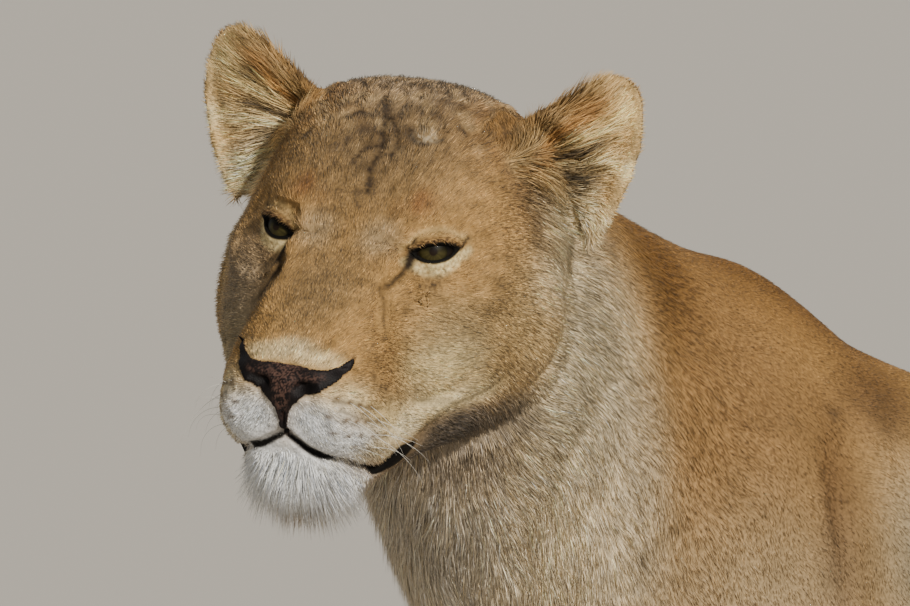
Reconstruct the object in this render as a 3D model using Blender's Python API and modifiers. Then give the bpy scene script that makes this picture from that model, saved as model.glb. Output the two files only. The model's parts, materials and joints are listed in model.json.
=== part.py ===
"""A life-size standing lioness, in named solids. Metres; she faces -Y, her left is +X and +Z is up."""

import math

import bmesh
import bpy
import numpy as np
from mathutils import Matrix, Vector

# ---- sizes, in metres and degrees, measured from the ground under the shoulder blades
TRUNK_HALF_WIDTH = 0.158
EYES_AT = Vector((0.090, -0.500, 1.080))  # midway between the eyes
HEAD_TURN, HEAD_NOD, HEAD_TILT = 28.6, 11.2, 6.8
EYE_PLACE = (0.048, 0.017, -0.0045)  # the left eyeball's centre in the head's frame
EYE_RADIUS, EYE_GAP = 0.0180, 0.0008
EAR_BASE = (0.080, 0.112, 0.012)
EAR_LENGTH, EAR_WIDTH, EAR_CUP, EAR_THICKNESS = 0.099, 0.100, 0.032, 0.009
EAR_CELLS = 20  # along and across an ear
EAR_WAYS = {1: (0.62, 0.20, 0.76), -1: (-0.69, 0.20, 0.69)}  # the left ear stands up a little more
ELBOW_HEIGHT, STIFLE_HEIGHT = 0.560, 0.620
NOSE_AT, NOSE_HALF, NOSE_TAPER = (0, -0.118, -0.070), (0.037, 0.024, 0.021), 0.32
TAIL_BASE = (0.0, 0.850, 0.790)
# how far each paw stands behind its place under the joint above
STEPS = {"fore_left": -0.030, "fore_right": 0.045, "hind_left": 0.060, "hind_right": -0.060}
SOLE_LEVEL = 0.004  # the soles are flat at this height above the paws' lowest curve

GAP = 0.0003  # between neighbouring solids
METABALL_CELL = 0.005
SKIN_CELL = 0.004
RELAX_ROUNDS = 110
BODY_TRIANGLES, PAW_TRIANGLES, HEAD_TRIANGLES = 2180, 860, 2250
CAP_MERGE = 0.03  # corners of a cut face closer than this share of its size become one
CAP_AREA, CAP_CORNERS = 2e-4, 8  # a cut face is larger than this and has more corners
PAW_TOP, HEAD_REACH = 0.130, 0.225

SHARP = math.radians(40)

# Metaballs are modelled in centimetres, as their finest cell is 0.005 units.
CENTIMETRES = 100.0
THRESHOLD = 0.1

# The head's sections, in its own frame: the origin midway between the eyes, the nose towards -Y.
# Each has its place at the top, how much it leans back going down, and its half outline from the
# middle of the top to the middle of the underside, as (across, height), in millimetres.
HEAD_SECTIONS = [
    (-120, 0.15, [(0, -58), (15, -58), (27, -60), (33, -68), (36, -80), (35, -94), (26, -110), (13, -128), (0, -134)]),
    (-106, 0.13, [(0, -48), (21, -48), (34, -53), (41, -64), (45, -80), (46, -98), (35, -119), (20, -142), (0, -149)]),
    (-86, 0.03, [(0, -35), (25, -36), (41, -43), (51, -60), (57, -82), (57, -102), (44, -126), (25, -151), (0, -159)]),
    (-60, 0.00, [(0, -19), (28, -20), (44, -31), (54, -56), (63, -84), (65, -107), (53, -130), (28, -151), (0, -158)]),
    (-36, 0.00, [(0, -5), (28, -6), (41, -18), (56, -50), (70, -84), (71, -109), (58, -131), (30, -147), (0, -152)]),
    (-12, 0.00, [(0, 12), (32, 11), (52, 4), (69, -24), (82, -62), (82, -100), (66, -128), (34, -143), (0, -147)]),
    (14, 0.00, [(0, 34), (34, 33), (58, 23), (80, -8), (94, -50), (96, -92), (78, -126), (40, -142), (0, -146)]),
    (45, 0.00, [(0, 57), (38, 55), (66, 40), (87, 8), (104, -40), (107, -88), (88, -126), (46, -144), (0, -148)]),
    (80, 0.00, [(0, 74), (42, 71), (72, 54), (91, 18), (111, -32), (116, -84), (98, -128), (54, -148), (0, -154)]),
    (112, 0.00, [(0, 77), (44, 73), (74, 54), (93, 18), (108, -30), (112, -84), (97, -132), (56, -156), (0, -165)]),
    (145, 0.00, [(0, 68), (42, 62), (72, 40), (88, 6), (98, -36), (100, -86), (90, -134), (54, -164), (0, -176)]),
    (180, 0.00, [(0, 45), (38, 39), (64, 18), (78, -12), (86, -48), (86, -92), (76, -136), (48, -168), (0, -182)]),
    (215, 0.00, [(0, 10), (34, 6), (54, -10), (64, -34), (68, -60), (68, -96), (60, -130), (40, -156), (0, -166)]),
]
# Strokes that model the head: (across, along, height) of the place, the way the surface is pushed
# there, how far the push reaches and how deep it goes. All but the middle ones are made twice.
HEAD_STROKES = [
    ((60, -6, -3), (-0.42, 0.89, -0.14), (24, 26, 17), 6),  # socket of the eye
    ((57, -3, -2), (-0.42, 0.89, -0.14), (15, 18, 7), 7),  # opening of the eye
    ((52, -6, 24), (0.2, -0.7, 0.6), (22, 14, 10), 4),  # brow
    ((62, -26, -48), (-1, 0.3, 0), (20, 28, 26), 3),  # hollow under the eye
    ((88, 20, -22), (1, -0.3, 0), (22, 26, 13), 6),  # cheek bone
    ((96, 62, -72), (1, 0, 0), (22, 30, 26), 3),  # jaw muscle
    ((36, -104, -80), (0.6, -0.8, 0), (16, 20, 16), 6),  # whisker pad
    ((44, -60, -102), (0.9, 0, -0.4), (14, 34, 11), 4),  # upper lip
    ((0, -122, -114), (0, 1, 0.1), (42, 24, 11), 4),  # lower lip, set back
    ((40, -84, -122), (-1, 0.2, 0.2), (12, 30, 11), 4),  # under the upper lip
    ((0, -104, -134), (0, -1, -0.4), (20, 14, 12), 3),  # chin
    ((70, 70, 38), (-1, 0, 0.4), (14, 26, 16), 4),  # temple
    ((0, 20, 40), (0, 0.4, -1), (10, 34, 12), 2),  # furrow of the forehead
]

# Strokes that model the body, in metres; each is made on both sides
BODY_STROKES = [
    ((0.030, -0.096, 1.015), (0, -0.2, 1), (0.060, 0.044, 0.060), 0.0066),  # withers
    ((0.050, -0.010, 0.975), (0, 0, -1), (0.050, 0.034, 0.050), 0.0062),  # behind them
]


def head_matrix():
    turn = Matrix.Rotation(math.radians(HEAD_TURN), 4, "Z")
    nod = Matrix.Rotation(math.radians(HEAD_NOD), 4, "X")
    tilt = Matrix.Rotation(math.radians(HEAD_TILT), 4, "Y")
    return Matrix.Translation(EYES_AT) @ turn @ nod @ tilt


# ---- masses of flesh
def surface_share(firm):
    """Where a mass of this firmness has its surface, as a share of its field's reach."""
    return math.sqrt(1.0 - (THRESHOLD / firm) ** (1.0 / 3.0))


class Flesh:
    """Ellipsoid masses that melt into one surface."""

    def __init__(self, name):
        self.data = bpy.data.metaballs.new(name)
        self.data.threshold = THRESHOLD

    def mass(self, at, size, pitch=0.0, roll=0.0, yaw=0.0, firm=4.0, frame=None):
        """One mass of these half sizes. Pitch lifts its front, roll leans its top to the right."""
        if frame is None:
            frame = (
                Matrix.Rotation(math.radians(yaw), 3, "Z")
                @ Matrix.Rotation(math.radians(-pitch), 3, "X")
                @ Matrix.Rotation(math.radians(-roll), 3, "Y")
            )
        most = max(size)
        element = self.data.elements.new(type="ELLIPSOID")
        element.co = Vector(at) * CENTIMETRES
        element.rotation = frame.to_quaternion()
        element.radius = most / surface_share(firm) * CENTIMETRES
        element.size_x, element.size_y, element.size_z = (s / most for s in size)
        element.stiffness = firm

    def limb(self, points, widths, depths, firm=4.0):
        """Overlapping masses along a smooth line, with half widths and half depths at its points."""
        sizes = [(*point, width, depth) for point, width, depth in zip(points, widths, depths)]
        thick = sum(widths + depths) / len(widths) / 2
        length = sum((Vector(b) - Vector(a)).length for a, b in zip(points, points[1:]))
        line = curve_through(sizes, max(2, round(length / (0.4 * thick * (len(points) - 1)))))
        for i, (x, y, z, width, depth) in enumerate(line):
            before, after = line[max(i - 1, 0)], line[min(i + 1, len(line) - 1)]
            along = Vector(after[:3] - before[:3]).normalized()
            across = (Vector((1, 0, 0)) - along.x * along).normalized()
            frame = Matrix((across, along, across.cross(along))).transposed()
            self.mass((x, y, z), (width, (width + depth) / 2, depth), frame=frame, firm=firm)

    def mesh(self):
        """The surface as a mesh in metres."""
        self.data.resolution = self.data.render_resolution = METABALL_CELL * CENTIMETRES
        holder = bpy.data.objects.new(self.data.name, self.data)
        bpy.context.scene.collection.objects.link(holder)
        graph = bpy.context.evaluated_depsgraph_get()
        mesh = bpy.data.meshes.new_from_object(holder.evaluated_get(graph))
        bpy.data.objects.remove(holder)
        mesh.transform(Matrix.Scale(1.0 / CENTIMETRES, 4))
        return mesh


def spline(a, b, c, d, t):
    """A point between b and c on a smooth curve through the four."""
    return 0.5 * (2 * b + (c - a) * t + (2 * a - 5 * b + 4 * c - d) * t**2 + (3 * b - a - 3 * c + d) * t**3)


def curve_through(rows, per_span, closed=False):
    """Rows along a smooth curve through the given rows."""
    rows = np.asarray(rows, dtype=float)
    if closed:
        ends = np.concatenate([rows[-1:], rows, rows[:2]])
    else:
        ends = np.concatenate([2 * rows[:1] - rows[1:2], rows, 2 * rows[-1:] - rows[-2:-1]])
    found = [spline(*ends[i : i + 4], k / per_span) for i in range(len(ends) - 3) for k in range(per_span)]
    if not closed:
        found.append(rows[-1])
    return np.array(found)


# ---- the trunk, neck and tail
def add_trunk(flesh):
    flesh.mass((0, 0.120, 0.700), (TRUNK_HALF_WIDTH, 0.290, 0.200), pitch=-3)  # rib cage
    flesh.mass((0, -0.095, 0.700), (0.125, 0.150, 0.175), pitch=-14)  # breast
    flesh.mass((0, 0.400, 0.690), (0.140, 0.290, 0.165), pitch=3)  # belly
    flesh.mass((0, 0.470, 0.780), (0.112, 0.300, 0.120))  # loins
    flesh.mass((0, 0.690, 0.760), (0.128, 0.180, 0.135), pitch=10)  # croup
    flesh.mass((0, 0.480, 0.590), (0.085, 0.200, 0.060), pitch=6)  # loose skin of the belly
    spine = [(0, -0.090, 0.890), (0, 0.080, 0.885), (0, 0.300, 0.868), (0, 0.520, 0.880), (0, 0.690, 0.866)]
    spine.append((0, 0.815, 0.812))
    flesh.limb(spine, (0.075, 0.070, 0.062, 0.062, 0.060, 0.045), (0.052, 0.046, 0.042, 0.040, 0.040, 0.036))


def add_neck(flesh):
    crest = [(0, 0.000, 0.795), (0, -0.120, 0.863), (0.006, -0.230, 0.930), (0.022, -0.330, 1.000)]
    flesh.limb(crest, (0.124, 0.116, 0.106, 0.098), (0.158, 0.158, 0.140, 0.118))
    throat = [(0, -0.150, 0.720), (0.004, -0.236, 0.800), (0.020, -0.313, 0.890), (0.045, -0.365, 0.960)]
    flesh.limb(throat, (0.100, 0.092, 0.084, 0.080), (0.120, 0.100, 0.088, 0.076))


def tail_line():
    x, y, z = TAIL_BASE
    bends = [(0, -0.060, 0.030), (0, 0.010, -0.010), (0.004, 0.070, -0.130), (0.012, 0.085, -0.290)]
    bends += [(0.016, 0.075, -0.440), (0.010, 0.090, -0.560), (0.002, 0.118, -0.640)]
    bends += [(-0.003, 0.138, -0.690), (-0.006, 0.152, -0.738)]
    return [(x + bend[0], y + bend[1], z + bend[2]) for bend in bends]


def add_tail(flesh):
    thick = (0.044, 0.036, 0.026, 0.021, 0.018, 0.016, 0.022, 0.031, 0.012)
    flesh.limb(tail_line(), thick, thick, firm=8)


# ---- the shoulders and forelegs
def add_shoulder(flesh, side):
    flesh.mass((side * 0.096, -0.035, 0.790), (0.044, 0.085, 0.185), pitch=20, roll=side * 10)  # blade
    flesh.mass((side * 0.058, 0.010, 0.912), (0.034, 0.070, 0.045), pitch=8)  # blade's top
    flesh.mass((side * 0.112, -0.130, 0.655), (0.056, 0.070, 0.100), pitch=10)  # point of the shoulder
    flesh.mass((side * 0.116, 0.030, 0.635), (0.052, 0.105, 0.120), pitch=20)  # triceps
    flesh.mass((side * 0.118, -0.060, 0.595), (0.056, 0.085, 0.110), pitch=-20)  # upper arm


def add_foreleg(flesh, side, step):
    def at(x, y, z):
        return (side * x, y + step * max(0.0, 1 - z / ELBOW_HEIGHT), z)

    line = [at(0.116, 0.000, 0.570), at(0.114, 0.012, 0.490), at(0.109, 0.002, 0.380), at(0.105, -0.004, 0.260)]
    line += [at(0.104, -0.006, 0.190), at(0.105, -0.014, 0.120), at(0.106, -0.034, 0.065)]
    widths = (0.060, 0.056, 0.050, 0.040, 0.042, 0.041, 0.046)
    flesh.limb(line, widths, (0.088, 0.076, 0.060, 0.044, 0.045, 0.040, 0.040))
    flesh.mass(at(0.108, 0.072, 0.520), (0.030, 0.034, 0.042), pitch=-10)  # point of the elbow
    flesh.mass(at(0.104, 0.036, 0.170), (0.018, 0.016, 0.022))  # wrist pad
    flesh.mass(at(0.070, -0.014, 0.105), (0.014, 0.020, 0.026))  # dew claw
    add_paw(flesh, at(0.107, -0.072, 0.0), 0.056, 0.064)


def add_paw(flesh, at, half_width, half_length):
    x, y, _ = at
    flesh.mass((x, y + 0.014, 0.042), (half_width * 0.94, half_length, 0.042), pitch=-12)
    for across, back in ((-0.74, 0.012), (-0.27, -0.006), (0.27, -0.006), (0.74, 0.012)):
        toe = (x + across * half_width, y - half_length * 0.66 + back)
        flesh.mass((*toe, 0.028), (0.0170, 0.036, 0.0275), pitch=-8, yaw=-across * 14, firm=8)
        flesh.mass((toe[0], toe[1] + 0.012, 0.044), (0.0160, 0.024, 0.0190), firm=8)  # knuckle


# ---- the hips and hind legs
def add_hip(flesh, side):
    flesh.mass((side * 0.090, 0.670, 0.680), (0.068, 0.180, 0.185), pitch=-14)  # thigh
    flesh.mass((side * 0.072, 0.780, 0.680), (0.060, 0.095, 0.160), pitch=10)  # buttock
    flesh.mass((side * 0.108, 0.570, 0.560), (0.056, 0.110, 0.130), pitch=-24)  # front of the thigh
    flesh.mass((side * 0.080, 0.460, 0.620), (0.044, 0.130, 0.080), pitch=-12)  # flank fold


def add_hindleg(flesh, side, step):
    def at(x, y, z):
        return (side * x, y + step * max(0.0, 1 - z / STIFLE_HEIGHT), z)

    thigh = [at(0.108, 0.630, 0.580), at(0.114, 0.610, 0.500), at(0.112, 0.660, 0.410), at(0.108, 0.735, 0.325)]
    thigh.append(at(0.106, 0.778, 0.262))
    flesh.limb(thigh, (0.062, 0.058, 0.048, 0.034, 0.030), (0.135, 0.108, 0.074, 0.050, 0.042))
    flesh.mass(at(0.113, 0.525, 0.500), (0.046, 0.050, 0.060))  # knee
    flesh.mass(at(0.107, 0.806, 0.296), (0.024, 0.028, 0.044), pitch=-20)  # point of the hock
    shank = [at(0.106, 0.780, 0.270), at(0.106, 0.768, 0.190), at(0.107, 0.752, 0.110), at(0.108, 0.730, 0.060)]
    flesh.limb(shank, (0.034, 0.032, 0.034, 0.040), (0.040, 0.034, 0.034, 0.036))
    add_paw(flesh, at(0.108, 0.700, 0.0), 0.050, 0.060)


# ---- the head
def grid_mesh(name, rows, closed):
    """A surface through rows of points; closed rows run all the way round."""
    bm = bmesh.new()
    lines = [[bm.verts.new(point) for point in row] for row in rows]
    for a, b in zip(lines, lines[1:]):
        for k in range(0 if closed else 1, len(a)):
            bm.faces.new((a[k - 1], a[k], b[k], b[k - 1]))
    if closed:
        for line in (lines[0], lines[-1]):
            centre = bm.verts.new(sum((v.co for v in line), Vector()) / len(line))
            for k in range(len(line)):
                bm.faces.new((line[k - 1], line[k], centre))
    bmesh.ops.recalc_face_normals(bm, faces=bm.faces)
    if not closed:
        bmesh.ops.solidify(bm, geom=bm.faces, thickness=EAR_THICKNESS)
    mesh = bpy.data.meshes.new(name)
    bm.to_mesh(mesh)
    bm.free()
    mesh.transform(head_matrix())
    return mesh


def head_mesh():
    """The head as a loft through its sections."""
    rings = []
    for place, lean, outline in HEAD_SECTIONS:
        highest = outline[0][1]
        half = [(x, place + lean * (highest - z), z) for x, z in outline]
        ring = half + [(-x, y, z) for x, y, z in half[-2:0:-1]]
        rings.append(curve_through(np.array(ring) / 1000.0, 4, closed=True))
    return grid_mesh("head", curve_through(rings, 4), closed=True)


def ear_frame(side):
    """The ear's base, the ways along and across it, and the way it opens, in the head's frame."""
    along = Vector(EAR_WAYS[side]).normalized()
    opening = Vector((side * 0.22, -0.95, 0.16))
    opening = (opening - opening.dot(along) * along).normalized()
    x, y, z = EAR_BASE
    return Vector((side * x, y, z)), along, along.cross(opening) * side, opening


def ear_mesh(side):
    """A cupped ear with a round rim, standing out sideways and opening forwards."""
    base, along, across, opening = ear_frame(side)
    rows = []
    for i in range(EAR_CELLS + 1):
        v = i / EAR_CELLS
        inner = -(0.42 - 0.30 * v) * math.sqrt(1 - v**10) - 0.05 * v
        outer = (0.51 - 0.10 * v) * math.sqrt(1 - v**2.2) - 0.05 * v
        row = []
        for k in range(EAR_CELLS + 1):
            u = 2 * k / EAR_CELLS - 1
            place = EAR_WIDTH * ((inner + outer) / 2 + u * (outer - inner) / 2)
            cup = EAR_CUP * (0.75 * u * u + 0.25 * u) * (1 - 0.75 * v * v) - 0.012 * (1 - v)
            row.append(base + along * (EAR_LENGTH * v) + across * place + opening * cup)
        rows.append(row)
    return grid_mesh("ear", rows, closed=False)


# ---- one skin round all of it
def points_of(mesh):
    points = np.empty(len(mesh.vertices) * 3)
    mesh.vertices.foreach_get("co", points)
    return points.reshape(-1, 3)


def set_points(mesh, points):
    mesh.vertices.foreach_set("co", points.ravel())
    mesh.update()


def softness(points):
    """How much each place is relaxed: the trunk most, the head and the paws least."""
    away = np.linalg.norm(points - np.array(EYES_AT), axis=1)
    head = np.interp(away, (0.20, 0.28), (0.03, 1.0))
    leg = np.interp(points[:, 2], (0.03, 0.12, 0.42, 0.66), (0.03, 0.10, 0.16, 1.0))
    tail = np.interp(points[:, 1], (0.87, 0.90), (1.0, 0.03))
    return 0.5 * np.minimum(np.minimum(head, leg), tail)


def relax(mesh, rounds):
    """Slides each point towards the middle of its neighbours, so that creases soften."""
    points = points_of(mesh)
    count = len(points)
    ends = np.empty(len(mesh.edges) * 2, dtype=np.int64)
    mesh.edges.foreach_get("vertices", ends)
    one, two = ends.reshape(-1, 2).T
    neighbours = np.bincount(one, minlength=count) + np.bincount(two, minlength=count)
    share = softness(points)
    for _ in range(rounds):
        for axis in range(3):
            value = points[:, axis]
            total = np.bincount(one, value[two], count) + np.bincount(two, value[one], count)
            points[:, axis] = value + (total / neighbours - value) * share
    set_points(mesh, points)


def pushed(places, strokes):
    """The places, moved by the strokes that reach them, on both sides."""
    for place, way, reach, depth in strokes:
        for side in (1, -1) if place[0] else (1,):
            mirror = np.array((side, 1, 1))
            away = (places - np.array(place) * mirror) / np.array(reach)
            share = np.exp(-(away**2).sum(axis=1))[:, None]
            places = places + share * (np.array(way) * mirror / np.linalg.norm(way)) * depth
    return places


def model_body(mesh):
    """Makes the strokes that model the withers and the head."""
    points = pushed(points_of(mesh), BODY_STROKES)
    turn = np.array(head_matrix().to_3x3())
    local = pushed((points - np.array(EYES_AT)) @ turn * 1000.0, HEAD_STROKES)
    set_points(mesh, local / 1000.0 @ turn.T + np.array(EYES_AT))


def applied(thing):
    """The object's mesh with its modifiers made."""
    graph = bpy.context.evaluated_depsgraph_get()
    mesh = bpy.data.meshes.new_from_object(thing.evaluated_get(graph))
    thing.modifiers.clear()
    thing.data = mesh
    return mesh


def whole_skin():
    """One closed surface round the body, the head and the ears."""
    flesh = Flesh("flesh")
    add_trunk(flesh)
    add_neck(flesh)
    add_tail(flesh)
    for side, name in ((1, "left"), (-1, "right")):
        add_shoulder(flesh, side)
        add_foreleg(flesh, side, STEPS["fore_" + name])
        add_hip(flesh, side)
        add_hindleg(flesh, side, STEPS["hind_" + name])
    bm = bmesh.new()
    for mesh in (flesh.mesh(), head_mesh(), ear_mesh(1), ear_mesh(-1)):
        bm.from_mesh(mesh)
    mesh = bpy.data.meshes.new("skin")
    bm.to_mesh(mesh)
    bm.free()
    skin = bpy.data.objects.new("skin", mesh)
    bpy.context.scene.collection.objects.link(skin)
    remesh = skin.modifiers.new("one surface", "REMESH")
    remesh.mode = "VOXEL"
    remesh.voxel_size = SKIN_CELL
    relax(applied(skin), RELAX_ROUNDS)
    model_body(skin.data)
    return skin


def flatten_soles(skin):
    """Cuts the paws flat at one level."""
    bm = bmesh.new()
    bm.from_mesh(skin.data)
    everything = bm.verts[:] + bm.edges[:] + bm.faces[:]
    plane = {"plane_co": (0, 0, SOLE_LEVEL), "plane_no": (0, 0, 1)}
    cut = bmesh.ops.bisect_plane(bm, geom=everything, dist=1e-5, clear_inner=True, **plane)
    rim = [e for e in cut["geom_cut"] if isinstance(e, bmesh.types.BMEdge)]
    bmesh.ops.holes_fill(bm, edges=rim)
    bmesh.ops.triangulate(bm, faces=bm.faces)
    bm.to_mesh(skin.data)
    bm.free()


def region_of(points):
    """Which region each point is in: 0 the body, 1 the paws, 2 the head and ears."""
    middle = head_matrix() @ Vector((0.0, 0.035, -0.040))
    region = np.zeros(len(points), dtype=int)
    region[points[:, 2] < PAW_TOP] = 1
    region[np.linalg.norm(points - np.array(middle), axis=1) < HEAD_REACH] = 2
    return region


def thin_out(skin):
    """Brings the skin down to few triangles, region by region."""
    bm = bmesh.new()
    bm.from_mesh(skin.data)
    bmesh.ops.triangulate(bm, faces=bm.faces)
    bm.to_mesh(skin.data)
    bm.free()
    region = region_of(points_of(skin.data))
    first = np.array([face.vertices[0] for face in skin.data.polygons])
    left = [int((region[first] == i).sum()) for i in range(3)]
    for i, wanted in enumerate((BODY_TRIANGLES, PAW_TRIANGLES, HEAD_TRIANGLES)):
        group = skin.vertex_groups.new(name="region")
        group.add([int(k) for k in np.nonzero(region == i)[0]], 1.0, "REPLACE")
        left[i] = wanted
        thin = skin.modifiers.new("fewer faces", "DECIMATE")
        thin.vertex_group = "region"
        thin.ratio = sum(left) / len(skin.data.polygons)
        applied(skin)
        skin.vertex_groups.clear()
        region = region_of(points_of(skin.data))


# ---- parting it into named solids
def box(at, half, turn=None, grow=0.0):
    """A box of these half sizes, turned about its middle."""
    bm = bmesh.new()
    bmesh.ops.create_cube(bm, size=2.0)
    bmesh.ops.scale(bm, verts=bm.verts, vec=[size + grow for size in half])
    mesh = bpy.data.meshes.new("cutter")
    bm.to_mesh(mesh)
    bm.free()
    frame = (turn or Matrix.Identity(3)).to_4x4()
    mesh.transform(Matrix.Translation(at) @ frame)
    return mesh


def ball(at, radius):
    bm = bmesh.new()
    bmesh.ops.create_icosphere(bm, subdivisions=3, radius=radius)
    mesh = bpy.data.meshes.new("ball")
    bm.to_mesh(mesh)
    bm.free()
    mesh.transform(Matrix.Translation(at))
    return mesh


def cut(thing, mesh, operation):
    """Cuts the object with the mesh, or keeps only what is inside it."""
    cutter = bpy.data.objects.new("cutter", mesh)
    bpy.context.scene.collection.objects.link(cutter)
    boolean = thing.modifiers.new("cut", "BOOLEAN")
    boolean.operation = operation
    boolean.solver = "EXACT"
    boolean.object = cutter
    applied(thing)
    bpy.data.objects.remove(cutter)


def add_solid(name, mesh):
    thing = bpy.data.objects.new(name, mesh)
    bpy.context.scene.collection.objects.link(thing)
    return thing


def take(skin, name, shape, *sizes):
    """Parts what is inside the shape from the skin, as a solid of its own with a gap round it."""
    piece = add_solid(name, skin.data.copy())
    cut(piece, shape(*sizes), "INTERSECT")
    cut(skin, shape(*sizes, grow=GAP), "DIFFERENCE")
    return piece


def nose_wedge(at, half, turn, grow=0.0):
    """A box whose lower half narrows, for the nose's bare pad."""
    mesh = box((0, 0, 0), half, grow=grow)
    for vert in mesh.vertices:
        if vert.co.z < 0:
            vert.co.x *= NOSE_TAPER
    mesh.transform(Matrix.Translation(at) @ turn.to_4x4())
    return mesh


def slope(normal, along=(0, 1, 0)):
    """A frame whose X runs along the normal and whose Y along the other way."""
    x = Vector(normal).normalized()
    y = (Vector(along) - x * x.dot(Vector(along))).normalized()
    return Matrix((x, y, x.cross(y))).transposed()


def part_tail(skin):
    x, y, _ = TAIL_BASE
    take(skin, "tail_tip", box, (x, y + 0.150, 0.130), (0.10, 0.125, 0.130))
    take(skin, "tail_middle", box, (x, y + 0.150, 0.400), (0.10, 0.125, 0.1397))
    take(skin, "tail_base", box, (x, y + 0.150, 0.690), (0.10, 0.115, 0.1497))


def part_legs(skin, side, name):
    take(skin, "fore_paw_" + name, box, (side * 0.105, -0.080, 0.060), (0.090, 0.180, 0.070))
    take(skin, "forearm_" + name, box, (side * 0.125, 0.000, 0.315), (0.085, 0.200, 0.1847))
    take(skin, "hind_paw_" + name, box, (side * 0.105, 0.680, 0.060), (0.090, 0.180, 0.070))
    take(skin, "shank_" + name, box, (side * 0.110, 0.680, 0.275), (0.100, 0.200, 0.1447))
    out = slope((side * 0.887, 0, -0.46))
    at = Vector((side * 0.095, 0.672, 0.675)) + out.col[0] * 0.150
    take(skin, "thigh_" + name, box, at, (0.150, 0.2125, 0.330), out)


def part_shoulder(skin, side, name):
    take(skin, "shoulder_" + name, box, (side * 0.170, -0.070, 0.760), (0.100, 0.210, 0.260))


def part_trunk(skin):
    forward = slope((0, -0.851, 0.525), (1, 0, 0))
    at = Vector((0, -0.168, 0.850)) + forward.col[0] * 0.400
    front = take(skin, "neck", box, at, (0.400, 0.300, 0.600), forward)
    for side, name in ((1, "left"), (-1, "right")):
        part_shoulder(skin, side, name)
    take(skin, "rump", box, (0, 0.700, 0.700), (0.300, 0.240, 0.400))
    take(skin, "belly", box, (0, 0.3547, 0.700), (0.300, 0.105, 0.400))
    skin.name = "chest"
    return front


def part_head(front):
    """Parts the head from the neck, and the ears, eyes and nose from the head."""
    matrix = head_matrix()
    turn = matrix.to_3x3()
    forward = turn @ slope((0, -0.95, 0.30), (1, 0, 0))
    at = matrix @ Vector((0, 0.118, -0.040)) + forward.col[0] * 0.250
    head = take(front, "head", box, at, (0.250, 0.250, 0.260), forward)
    for side, name in ((1, "left"), (-1, "right")):
        base, along, across, opening = ear_frame(side)
        frame = turn @ Matrix((along, across, along.cross(across))).transposed()
        at = matrix @ (base + along * (0.030 + 0.060))
        take(head, "ear_" + name, box, at, (0.060, 0.080, 0.070), frame)
        eye = matrix @ Vector((side * EYE_PLACE[0], *EYE_PLACE[1:]))
        add_solid("eye_" + name, ball(eye, EYE_RADIUS))
        cut(head, ball(eye, EYE_RADIUS + EYE_GAP), "DIFFERENCE")
    take(head, "nose", nose_wedge, matrix @ Vector(NOSE_AT), NOSE_HALF, turn)


def tidy_caps(mesh):
    """Merges the close corners of the flat faces that the cuts leave, if the solid stays closed."""
    for share in (CAP_MERGE, 0.0):
        bm = bmesh.new()
        bm.from_mesh(mesh)
        bmesh.ops.dissolve_limit(bm, angle_limit=math.radians(0.05), verts=bm.verts, edges=bm.edges)
        caps = [f for f in bm.faces if len(f.verts) > CAP_CORNERS and f.calc_area() > CAP_AREA]
        reaches = [share * math.sqrt(f.calc_area()) for f in caps]
        rims = [[v for v in f.verts if len(set(caps).intersection(v.link_faces)) == 1] for f in caps]
        for rim, reach in zip(rims, reaches):
            bmesh.ops.remove_doubles(bm, verts=[v for v in rim if v.is_valid], dist=reach)
        bmesh.ops.dissolve_degenerate(bm, edges=bm.edges, dist=1e-6)
        bmesh.ops.triangulate(bm, faces=bm.faces)
        closed = all(edge.is_manifold for edge in bm.edges)
        if closed:
            bm.to_mesh(mesh)
        bm.free()
        if closed:
            break


# ---- looks and place
def paint(thing, finish):
    """Gives the solid a material: its name, colour and roughness."""
    name, colour, roughness = finish
    material = bpy.data.materials.get(name) or bpy.data.materials.new(name)
    material.use_nodes = True
    shader = material.node_tree.nodes["Principled BSDF"]
    shader.inputs["Base Color"].default_value = (*colour, 1.0)
    shader.inputs["Roughness"].default_value = roughness
    shader.inputs["Metallic"].default_value = 0.0
    thing.data.materials.clear()
    thing.data.materials.append(material)


FINISHES = {
    "eye": ("eye", (0.420, 0.270, 0.070), 0.10),
    "ear": ("ear fur", (0.560, 0.360, 0.170), 0.85),
    "nose": ("nose leather", (0.090, 0.050, 0.040), 0.45),
    "tail_tip": ("dark tuft", (0.120, 0.085, 0.060), 0.85),
    "": ("coat", (0.620, 0.430, 0.230), 0.85),
}


def finish_solids():
    """Puts the solids in one collection, painted, and centres the whole over the origin on the ground."""
    lioness = bpy.data.collections.new("Lioness")
    bpy.context.scene.collection.children.link(lioness)
    solids = list(bpy.data.objects)
    for thing in solids:
        tidy_caps(thing.data)
    points = np.concatenate([points_of(thing.data) for thing in solids])
    low, high = points.min(axis=0), points.max(axis=0)
    to_origin = Matrix.Translation((-(low[0] + high[0]) / 2, -(low[1] + high[1]) / 2, -low[2]))
    for thing in solids:
        thing.data.transform(to_origin)
        thing.data.name = thing.name
        thing.data.shade_smooth()
        thing.data.set_sharp_from_angle(angle=SHARP)
        paint(thing, next(FINISHES[start] for start in FINISHES if thing.name.startswith(start)))
        bpy.context.scene.collection.objects.unlink(thing)
        lioness.objects.link(thing)


def main():
    for thing in list(bpy.data.objects):
        bpy.data.objects.remove(thing)
    skin = whole_skin()
    thin_out(skin)
    flatten_soles(skin)
    part_tail(skin)
    for side, name in ((1, "left"), (-1, "right")):
        part_legs(skin, side, name)
    part_head(part_trunk(skin))
    finish_solids()


if __name__ == "__main__":
    main()
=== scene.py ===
"""The looks of a life-size standing lioness: her skin, coat, eyes, nose and whiskers."""

import json
import math

import bmesh
import bpy
import numpy as np
from mathutils import Matrix, Vector
from mathutils.bvhtree import BVHTree

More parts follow.
